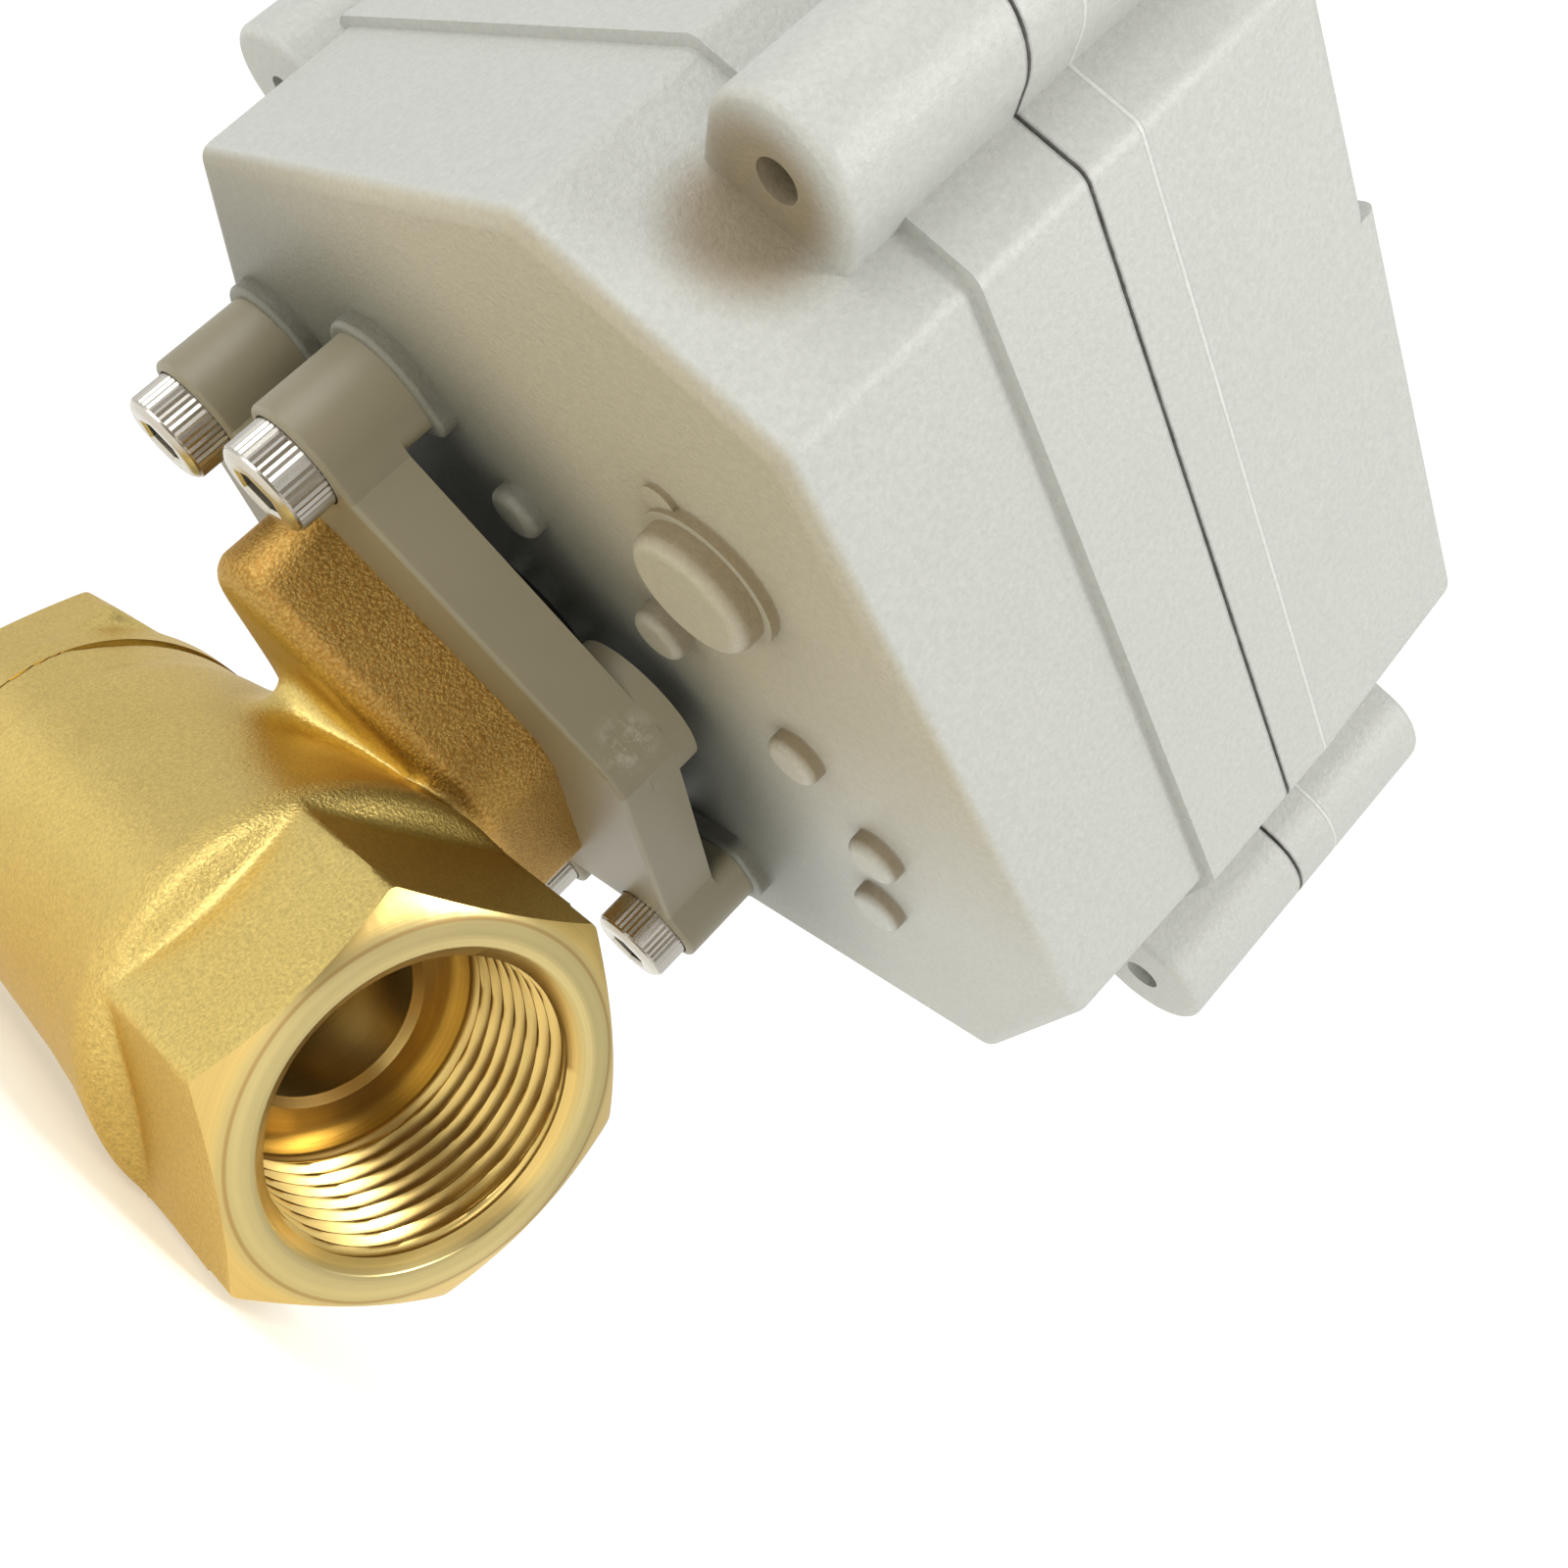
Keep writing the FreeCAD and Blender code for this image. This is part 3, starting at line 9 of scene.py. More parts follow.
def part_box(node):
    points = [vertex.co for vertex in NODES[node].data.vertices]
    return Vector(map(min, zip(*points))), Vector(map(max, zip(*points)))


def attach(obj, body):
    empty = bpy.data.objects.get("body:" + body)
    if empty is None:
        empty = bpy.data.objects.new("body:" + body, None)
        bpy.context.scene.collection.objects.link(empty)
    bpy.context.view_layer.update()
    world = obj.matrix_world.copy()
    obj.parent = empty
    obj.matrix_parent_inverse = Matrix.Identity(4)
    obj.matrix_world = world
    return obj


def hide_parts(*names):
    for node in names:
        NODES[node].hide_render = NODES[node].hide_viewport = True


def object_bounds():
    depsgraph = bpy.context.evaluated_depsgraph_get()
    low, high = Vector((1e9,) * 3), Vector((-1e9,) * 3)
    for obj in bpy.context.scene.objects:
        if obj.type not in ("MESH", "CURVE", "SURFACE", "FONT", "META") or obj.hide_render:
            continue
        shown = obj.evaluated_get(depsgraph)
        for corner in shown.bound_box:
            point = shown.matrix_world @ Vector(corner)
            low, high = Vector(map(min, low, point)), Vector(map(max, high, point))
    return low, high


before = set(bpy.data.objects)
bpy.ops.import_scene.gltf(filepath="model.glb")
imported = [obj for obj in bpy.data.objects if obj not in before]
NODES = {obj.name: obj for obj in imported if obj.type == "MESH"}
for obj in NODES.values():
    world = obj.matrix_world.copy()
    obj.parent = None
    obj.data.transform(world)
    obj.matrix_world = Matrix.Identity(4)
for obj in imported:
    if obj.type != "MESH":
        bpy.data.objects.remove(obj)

bl_info = {
    "name": "Motorized ball valve",
    "version": (1, 0, 0),
    "blender": (4, 5, 0),
    "location": "View3D > Sidebar > Valve",
    "description": "Builds the looks of a motorized ball valve on its solid parts",
    "category": "Object",
}

CAD_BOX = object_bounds()
STATIC_BODY = "valve_and_case"
BODY_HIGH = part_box("valve_body")[1]
CAP_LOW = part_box("end_cap")[0]
SCREWS_LOW, SCREWS_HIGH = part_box("bracket_screws")

MM = 0.001
TINY = 1e-6

# Nearly all values of a noise lie between these two
NOISE_LOW = 0.32
NOISE_HIGH = 0.68

# Steps round a turned piece: barrel and cap, port with its thread, stem hole, small holes, screws
LATHE_STEPS = 96
PORT_STEPS = 120
STEM_STEPS = 48
HOLE_STEPS = 24
SCREW_STEPS = 48

# How far tools and blanks reach past the finished brass
TOOL_RUN = 1.0 * MM

# Sizes that body and end cap share; places lie along the pipe from the ball's centre
JOINT_X = -24.5 * MM
STEP_X = -16.0 * MM
STEP_RUN = 0.6 * MM
THIN_R = 17.3 * MM
BARREL_R = 17.9 * MM
HEX_ROOT = 33.0 * MM
HEX_FACE = 31.6 * MM
BODY_HEX_TURN = 30
CAP_HEX_TURN = 15

# Swell of the barrel before the hexagon: place along the pipe and radius
SWELL_MM = ((14.0, 18.2), (20.5, 18.8), (22.6, 18.9), (23.6, 18.5), (24.6, 17.0), (25.6, 16.0))

# Rounded lower edge of the pad: inset and height over its lowest plane
PAD_EDGE_MM = ((2.0, 0.0), (0.6, 0.7), (0.0, 2.2))

# Neck: height and growth at its foot, then height over the pad's lowest plane and growth
NECK_FOOT_MM = ((6.0, 1.6), (12.0, 1.6))
NECK_TOP_MM = ((-2.2, 0.0), (-0.7, 0.9), (1.2, 2.6))

# Broken edge of the mouth, in widths of the edge: how far down and how far out
BROKEN_EDGE = ((0.0, 1.0), (0.3, 0.3), (1.1, -0.5))


def linear(code):
    """An sRGB hex colour as linear red, green and blue."""
    values = [int(code[i:i + 2], 16) / 255 for i in (0, 2, 4)]
    return [v / 12.92 if v <= 0.04045 else ((v + 0.055) / 1.055) ** 2.4
            for v in values]


def rgba(colour):
    """A colour with full opacity, as sockets take it."""
    return (colour[0], colour[1], colour[2], 1.0)


def length_prop(name, description, default):
    """A length that a user may change."""
    return bpy.props.FloatProperty(name=name, description=description,
                                   default=default, min=0.0, unit="LENGTH",
                                   precision=5)


def colour_prop(name, description, code):
    """A colour that a user may change."""
    return bpy.props.FloatVectorProperty(name=name, description=description,
                                         subtype="COLOR", size=3, min=0.0,
                                         max=1.0, default=linear(code))


class ValveSizes(bpy.types.PropertyGroup):
    """Sizes of the pieces that are modelled here."""

    thread_pitch: length_prop("Thread pitch", "Distance between grooves of the port thread", 1.814 * MM)
    thread_major: length_prop("Thread groove radius", "Radius at the bottom of the grooves", 13.22 * MM)
    thread_minor: length_prop("Thread crest radius", "Radius over the thread crests", 12.06 * MM)
    thread_start: length_prop("Thread start", "Distance of the first groove from the ball centre", 39.3 * MM)
    thread_end: length_prop("Thread end", "Distance of the last groove from the ball centre", 23.6 * MM)
    mouth_radius: length_prop("Mouth radius", "Radius of the chamfered port mouth", 13.2 * MM)
    port_ring_radius: length_prop("Port ring radius", "Outer radius of the flat port face", 15.4 * MM)
    flow_radius: length_prop("Flow bore", "Radius of the bore behind the thread", 8.0 * MM)
    forging_voxel: length_prop("Forging grain", "Cell size of the forged skin", 0.42 * MM)
    knurl_count: bpy.props.IntProperty(name="Knurl ridges", description="Ridges around a screw head",
                                       default=44, min=8)
    knurl_depth: length_prop("Knurl depth", "Height of the ridges on a screw head", 0.16 * MM)


class ValveColours(bpy.types.PropertyGroup):
    """Colours of the finishes."""

    brass: colour_prop("Blasted brass", "Forged and shot-blasted brass", "D6C078")
    brass_warm: colour_prop("Warm brass", "Slightly tarnished patches of the forging", "CDB36A")
    # Dark brass of the forging's hollows, also painted as shade on the pad wall, in the crease under it and
    # round the port face's edge
    brass_hollows_and_shade: colour_prop("Deep brass", "Dark brass of the forging's hollows, and painted shade on the pad wall and round the port face", "946628")
    brass_gloss: colour_prop("Brass gloss", "Edge gloss of the blasted brass", "FFF1D6")
    machined: colour_prop("Machined brass", "Freshly turned brass", "C0B27F")
    turned_bore: colour_prop("Turned bore", "Turned brass of the thread and the bore", "D6B972")
    housing: colour_prop("Housing", "Moulded housing plastic", "B0B1AB")
    # Painted brown shade beside the near screw column and on the walls of the bosses
    brown_shade: colour_prop("Brown shade", "Painted brown shade beside the screw column and on the boss walls", "766546")
    seam_dirt: colour_prop("Seam dirt", "Dirt in the seam between the shells", "2E2820")
    # Painted highlight along the ridge round the cover
    highlit_ridge: colour_prop("Highlit ridge", "Painted highlight along the ridge round the cover", "DADBD5")
    # Painted tan shade on the underside of the housing
    underside: colour_prop("Underside", "Painted tan shade under the housing", "9F9883")
    # Painted dark shade on the underside round the bracket
    bracket_shade: colour_prop("Bracket shade", "Painted dark shade on the underside round the bracket", "62635A")
    bracket: colour_prop("Bracket", "Moulded bracket plastic", "847C64")
    scuff: colour_prop("Scuff", "Rubbed places on the bracket", "C9C6BA")
    stainless: colour_prop("Stainless steel", "Socket head screws", "C9C4BA")
    floor: colour_prop("Floor", "Floor under the object", "F4F2EC")


# Material helpers

def add_node(tree, kind, settings=None, links=None):
    """Add one node; settings fill its properties or inputs. A link joins an input to
    a socket, or to the first output in use of a node."""
    node = tree.nodes.new(kind)
    for key, value in (settings or {}).items():
        if isinstance(key, str) and hasattr(node, key):
            setattr(node, key, value)
        else:
            node.inputs[key].default_value = value
    for key, source in (links or {}).items():
        if isinstance(source, bpy.types.Node):
            source = next(socket for socket in source.outputs if socket.enabled)
        tree.links.new(source, node.inputs[key])
    return node


def new_material(name):
    """An empty node material with its output and the object coordinates."""
    material = bpy.data.materials.new(name)
    material.use_nodes = True
    tree = material.node_tree
    tree.nodes.clear()
    output = add_node(tree, "ShaderNodeOutputMaterial")
    place = add_node(tree, "ShaderNodeTexCoord").outputs["Object"]
    return material, tree, output, place


def finish_surface(tree, output, settings, links):
    """The shader of a finish, joined to the material's output."""
    shader = add_node(tree, "ShaderNodeBsdfPrincipled", settings, links)
    tree.links.new(shader.outputs["BSDF"], output.inputs["Surface"])


def cell_scale(size_mm):
    """Scale of a pattern whose cells are about size_mm across."""
    return 1000.0 / size_mm


def band(tree, value, middle, full, none):
    """1 where a value is within full of the middle, fading to 0 at none."""
    apart = add_node(tree, "ShaderNodeMath", {"operation": "SUBTRACT", 1: middle}, {0: value})
    size = add_node(tree, "ShaderNodeMath", {"operation": "ABSOLUTE"}, {0: apart})
    return add_node(tree, "ShaderNodeMapRange",
                    {"From Min": full, "From Max": none, "To Min": 1.0, "To Max": 0.0}, {"Value": size})


def cloudy(tree, place, dark, light, cloud_mm):
    """A colour that drifts into another in soft clouds, each about cloud_mm across."""
    cloud = add_node(tree, "ShaderNodeTexNoise", {"Scale": cell_scale(cloud_mm), "Detail": 3.0},
                     {"Vector": place})
    return add_node(tree, "ShaderNodeMix", {"data_type": "RGBA", 6: rgba(dark), 7: rgba(light)},
                    {0: cloud})


def laid_over(tree, base, colour, mask, second_mask):
    """A colour laid over another where both masks are 1."""
    both = add_node(tree, "ShaderNodeMath", {"operation": "MULTIPLY"}, {0: mask, 1: second_mask})
    return add_node(tree, "ShaderNodeMix", {"data_type": "RGBA", 7: rgba(colour)}, {0: both, 6: base})


def flecked(tree, colour, value, dull, bright):
    """A colour made duller and brighter by a noise value."""
    gain = add_node(tree, "ShaderNodeMapRange",
                    {"From Min": NOISE_LOW, "From Max": NOISE_HIGH, "To Min": dull, "To Max": bright},
                    {"Value": value})
    return add_node(tree, "ShaderNodeVectorMath", {"operation": "SCALE"}, {0: colour, "Scale": gain})


def dents(tree, place, size_mm):
    """Shallow rounded dents, each about size_mm across, with a rough rim."""
    rim_fineness = 1.6
    rim_shift = 0.35 * MM
    stir = add_node(tree, "ShaderNodeTexNoise",
                    {"Scale": rim_fineness * cell_scale(size_mm), "Detail": 1.0}, {"Vector": place})
    shifted = add_node(tree, "ShaderNodeVectorMath",
                       {"operation": "MULTIPLY_ADD", 1: (rim_shift, rim_shift, rim_shift)},
                       {0: stir.outputs["Color"], 2: place})
    return add_node(tree, "ShaderNodeTexVoronoi",
                    {"feature": "SMOOTH_F1", "Scale": cell_scale(size_mm), "Smoothness": 0.35},
                    {"Vector": shifted})


# Finishes

def moulded_plastic(name, colour, roughness, grain_mm, grain_depth_mm, shade=0.93):
    """Injection moulded plastic: even colour, and the fine spark texture of its mould
    catches the light as tiny specks. The grain is drawn coarser than the real one,
    which would be too fine to show."""
    cloud_mm = 9.0
    gloss_change = 0.06
    material, tree, output, place = new_material(name)
    tint = cloudy(tree, place, [c * shade for c in colour], colour, cloud_mm)
    grain = add_node(tree, "ShaderNodeTexNoise",
                     {"Scale": cell_scale(grain_mm), "Detail": 3.0, "Roughness": 0.6}, {"Vector": place})
    bump = add_node(tree, "ShaderNodeBump", {"Strength": 0.6, "Distance": grain_depth_mm * MM},
                    {"Height": grain})
    rough = add_node(tree, "ShaderNodeMapRange",
                     {"To Min": roughness - gloss_change, "To Max": roughness + gloss_change},
                     {"Value": grain})
    finish_surface(tree, output, {"IOR": 1.5}, {"Base Color": tint, "Roughness": rough, "Normal": bump})
    return material


def housing_tone_with_painted_shade(tree, place, axes, colours):
    """The housing's colour with painted shade: a brown patch beside the near screw column, darker boss
    walls, a tan underside and darker plastic round the bracket.
    """
    cloud_mm = 9.0
    shade = 0.95
    # Painted shade: a brown patch beside the near screw column
    column_shade_place = (54.5 * MM, -44.8 * MM, 48.7 * MM)
    column_shade_full = 3.2 * MM
    column_shade_end = 7.5 * MM
    column_shade_strength = 0.85
    # Painted shade on the upright walls of the bosses under the housing
    boss_z = 38.7 * MM
    floor_z = 39.1 * MM
    # Painted tan shade on the underside, fading out towards the far side
    underside_z = 39.3 * MM
    slope_z = 40.0 * MM
    underside_shade_y = -8.0 * MM
    unshaded_y = 18.0 * MM
    # Painted dark shade on the underside round the bracket
    bracket_shade_full = 24.0 * MM
    bracket_shade_end = 44.0 * MM
    bracket_shade_strength = 0.85
    bracket_shade_reach_y = 0.7
    upright_end = 0.15
    level_start = 0.85
    boss_wall_shade = 0.8
    tint = cloudy(tree, place, [c * shade for c in colours.housing], colours.housing, cloud_mm)
    # Brown patch of painted shade beside the near screw column
    column = add_node(tree, "ShaderNodeVectorMath", {"operation": "DISTANCE", 1: column_shade_place}, {0: place})
    column_shade = add_node(tree, "ShaderNodeMapRange",
                     {"interpolation_type": "SMOOTHSTEP", "From Min": column_shade_full, "From Max": column_shade_end,
                      "To Min": column_shade_strength, "To Max": 0.0}, {"Value": column})
    column_shaded = add_node(tree, "ShaderNodeMix", {"data_type": "RGBA", 7: rgba(colours.brown_shade)},
                       {0: column_shade, 6: tint})
    # Darker painted shade round the bracket
    across = add_node(tree, "ShaderNodeVectorMath",
                      {"operation": "MULTIPLY", 1: (1.0, bracket_shade_reach_y, 0.0)}, {0: place})
    reach = add_node(tree, "ShaderNodeVectorMath", {"operation": "LENGTH"}, {0: across})
    round_bracket = add_node(tree, "ShaderNodeMapRange",
                             {"interpolation_type": "SMOOTHSTEP", "From Min": bracket_shade_full,
                              "From Max": bracket_shade_end, "To Min": bracket_shade_strength, "To Max": 0.0},
                             {"Value": reach})
    underside = add_node(tree, "ShaderNodeMapRange",
                         {"From Min": underside_z, "From Max": slope_z, "To Min": 1.0, "To Max": 0.0},
                         {"Value": axes.outputs["Z"]})
    bosses = add_node(tree, "ShaderNodeMapRange",
                      {"From Min": boss_z, "From Max": floor_z, "To Min": 1.0, "To Max": 0.0},
                      {"Value": axes.outputs["Z"]})
    near_side = add_node(tree, "ShaderNodeMapRange",
                         {"From Min": underside_shade_y, "From Max": unshaded_y, "To Min": 1.0, "To Max": 0.0},
                         {"Value": axes.outputs["Y"]})
    # Painted tan shade on the underside's near side
    underside_shaded = laid_over(tree, column_shaded, colours.underside, near_side, underside)
    # Painted shade: the upright walls of the bosses take the brown
    facing = add_node(tree, "ShaderNodeSeparateXYZ", None,
                      {"Vector": add_node(tree, "ShaderNodeTexCoord").outputs["Normal"]})
    level = add_node(tree, "ShaderNodeMath", {"operation": "ABSOLUTE"}, {0: facing.outputs["Z"]})
    wall = add_node(tree, "ShaderNodeMapRange",
                    {"From Min": upright_end, "From Max": level_start, "To Min": boss_wall_shade, "To Max": 0.0},
                    {"Value": level})
    wall_shaded = laid_over(tree, underside_shaded, colours.brown_shade, wall, bosses)
    # Painted dark shade round the bracket on the underside
    return laid_over(tree, wall_shaded, colours.bracket_shade, round_bracket, underside)


def housing_plastic(colours):
    """Moulded housing plastic: a brown patch of painted shade beside the near screw
    column and on the boss walls, painted tan shade on the underside, darker painted
    shade round the bracket, grime in the seam, a mould line on the cover with a
    painted highlight along it, and the specks of the spark texture."""
    seam_z = 65.5 * MM
    seam_full = 0.16 * MM
    seam_end = 0.40 * MM
    seam_patch_mm = 1.6
    # A ridge round the cover, with a painted highlight along it
    line_z = 70.75 * MM
    line_full = 0.08 * MM
    line_end = 0.26 * MM
    ridge_highlight_strength = 0.42
    line_height = 1.5
    grain_mm = 0.42
    grain_depth = 0.08 * MM
    speck_mm = 0.5
    dull = 0.92
    bright = 1.06
    least_rough = 0.38
    most_rough = 0.54
    material, tree, output, place = new_material("moulded_abs_spark_texture")
    axes = add_node(tree, "ShaderNodeSeparateXYZ", None, {"Vector": place})
    painted_shade_tone = housing_tone_with_painted_shade(tree, place, axes, colours)
    patches = add_node(tree, "ShaderNodeTexNoise",
                       {"Scale": cell_scale(seam_patch_mm), "Detail": 3.0, "Roughness": 0.7},
                       {"Vector": place})
    in_seam = band(tree, axes.outputs["Z"], seam_z, seam_full, seam_end)
    seamed = laid_over(tree, painted_shade_tone, colours.seam_dirt, in_seam, patches)
    # Painted highlight: the ridge is drawn lighter, and the same band raises it
    highlit_ridge = band(tree, axes.outputs["Z"], line_z, line_full, line_end)
    ridge_highlight_share = add_node(tree, "ShaderNodeMath", {"operation": "MULTIPLY", 1: ridge_highlight_strength}, {0: highlit_ridge})
    ridge_highlit = add_node(tree, "ShaderNodeMix", {"data_type": "RGBA", 7: rgba(colours.highlit_ridge)},
                     {0: ridge_highlight_share, 6: seamed})
    grain = add_node(tree, "ShaderNodeTexNoise",
                     {"Scale": cell_scale(grain_mm), "Detail": 3.0, "Roughness": 0.65}, {"Vector": place})
    raised = add_node(tree, "ShaderNodeMath", {"operation": "MULTIPLY_ADD", 1: line_height},
                      {0: highlit_ridge, 2: grain})
    bump = add_node(tree, "ShaderNodeBump", {"Strength": 0.8, "Distance": grain_depth},
                    {"Height": raised})
    rough = add_node(tree, "ShaderNodeMapRange", {"To Min": least_rough, "To Max": most_rough},
                     {"Value": grain})
    sparks = add_node(tree, "ShaderNodeTexNoise",
                      {"Scale": cell_scale(speck_mm), "Detail": 3.0, "Roughness": 0.75}, {"Vector": place})
    finish_surface(tree, output, {"IOR": 1.5},
                   {"Base Color": flecked(tree, ridge_highlit, sparks, dull, bright),
                    "Roughness": rough, "Normal": bump})
    return material


def smooth_metal(name, colour, roughness, line_mm, depth_mm):
    """Turned or drawn metal: fine tool lines and small changes in gloss. The lines
    are drawn wider apart than the real ones, which would be too fine to show."""
    cloud_mm = 4.0
    polish = 0.05
    wear = 0.08
    material, tree, output, place = new_material(name)
    lines = add_node(tree, "ShaderNodeTexNoise", {"Scale": cell_scale(line_mm)}, {"Vector": place})
    cloud = add_node(tree, "ShaderNodeTexNoise", {"Scale": cell_scale(cloud_mm)}, {"Vector": place})
    bump = add_node(tree, "ShaderNodeBump", {"Strength": 0.5, "Distance": depth_mm * MM},
                    {"Height": lines})
    rough = add_node(tree, "ShaderNodeMapRange",
                     {"To Min": roughness - polish, "To Max": roughness + wear}, {"Value": cloud})
    finish_surface(tree, output, {"Base Color": rgba(colour), "Metallic": 1.0},
                   {"Roughness": rough, "Normal": bump})
    return material


def blasted_brass(colours):
    """Forged brass after shot blasting: golden, with sparkling dents that are
    coarse on the pad wall and beside the hexagon and fine on the barrel. The ring
    beside the hexagon is painted lighter as a highlight, and the pad wall with the
    crease under it is painted deeper brown as shade, darkest in the dents' hollows."""
    # The pad mask starts below the pad, so the crease under it also gets the painted shade
    fold_z = 17.2 * MM
    pad_z = 20.4 * MM
    ring_start = 19.0 * MM
    ring_full = 21.0 * MM
    ring_fade = 23.8 * MM
    ring_end = 25.6 * MM
    ring_rest = 0.15
    # Painted highlight: how much lighter the ring beside the hexagon is drawn
    ring_highlight = 1.06
    barrel_gloss = 0.30
    coarse_gloss = 0.44
    barrel_relief = 0.9
    pad_relief = 0.55
    rim_start = 0.15
    rim_dark = 0.52
    pit_start = 0.75
    pit_dark = 0.86
    barrel_grain_mm = 0.36
    dent_mm = 0.30
    dent_depth = 0.075 * MM
    cloud_mm = 11.0
    glitter_mm = 0.32
    barrel_dull = 0.82
    barrel_bright = 1.12
    coarse_dull = 0.80
    coarse_bright = 1.17
    material, tree, output, place = new_material("forged_brass_shot_blasted")
    axes = add_node(tree, "ShaderNodeSeparateXYZ", None, {"Vector": place})
    pad = add_node(tree, "ShaderNodeMapRange",
                   {"interpolation_type": "SMOOTHSTEP", "From Min": fold_z, "From Max": pad_z},
                   {"Value": axes.outputs["Z"]})
    ring_rise = add_node(tree, "ShaderNodeMapRange",
                         {"interpolation_type": "SMOOTHSTEP", "From Min": ring_start, "From Max": ring_full},
                         {"Value": axes.outputs["X"]})
    ring_fall = add_node(tree, "ShaderNodeMapRange",
                         {"interpolation_type": "SMOOTHSTEP", "From Min": ring_fade, "From Max": ring_end,
                          "To Min": 1.0, "To Max": ring_rest}, {"Value": axes.outputs["X"]})
    ring = add_node(tree, "ShaderNodeMath", {"operation": "MULTIPLY"}, {0: ring_rise, 1: ring_fall})
    coarse = add_node(tree, "ShaderNodeMath", {"operation": "MAXIMUM"}, {0: pad, 1: ring})
    fine_grain = add_node(tree, "ShaderNodeTexNoise",
                          {"Scale": cell_scale(barrel_grain_mm), "Detail": 3.0, "Roughness": 0.7},
                          {"Vector": place})
    coarse_grain = dents(tree, place, dent_mm)
    height = add_node(tree, "ShaderNodeMix", {"data_type": "FLOAT"},
                      {0: coarse, 2: fine_grain, 3: coarse_grain})
    depth = add_node(tree, "ShaderNodeMapRange", {"To Min": barrel_relief, "To Max": pad_relief},
                     {"Value": pad})
    bump = add_node(tree, "ShaderNodeBump", {"Distance": dent_depth},
                    {"Height": height, "Strength": depth})
    tint = cloudy(tree, place, colours.brass_warm, colours.brass, cloud_mm)
    # Painted shade: the pad wall and the crease under it take the deep brass, most in the dents' hollows
    pit_and_pad_shade = add_node(tree, "ShaderNodeMapRange",
                    {"From Min": rim_start, "From Max": pit_start, "To Min": rim_dark, "To Max": pit_dark},
                    {"Value": coarse_grain})
    tone = laid_over(tree, tint, colours.brass_hollows_and_shade, pit_and_pad_shade, pad)
    rough = add_node(tree, "ShaderNodeMapRange", {"To Min": barrel_gloss, "To Max": coarse_gloss},
                     {"Value": coarse})
    glitter = add_node(tree, "ShaderNodeTexNoise",
                       {"Scale": cell_scale(glitter_mm), "Roughness": 0.7}, {"Vector": place})
    dull_end = add_node(tree, "ShaderNodeMapRange", {"To Min": barrel_dull, "To Max": coarse_dull},
                        {"Value": coarse})
    bright_end = add_node(tree, "ShaderNodeMapRange", {"To Min": barrel_bright, "To Max": coarse_bright},
                          {"Value": coarse})
    bright = add_node(tree, "ShaderNodeMapRange", {"From Min": NOISE_LOW, "From Max": NOISE_HIGH},
                      {"Value": glitter, "To Min": dull_end, "To Max": bright_end})
    # Painted highlight: the ring beside the hexagon is drawn lighter
    lift = add_node(tree, "ShaderNodeMapRange", {"To Min": 1.0, "To Max": ring_highlight}, {"Value": ring})
    gain = add_node(tree, "ShaderNodeMath", {"operation": "MULTIPLY"}, {0: bright, 1: lift})
    specks = add_node(tree, "ShaderNodeVectorMath", {"operation": "SCALE"}, {0: tone, "Scale": gain})
    finish_surface(tree, output, {"Metallic": 1.0, "Specular Tint": rgba(colours.brass_gloss)},
                   {"Base Color": specks, "Roughness": rough, "Normal": bump})
    return material


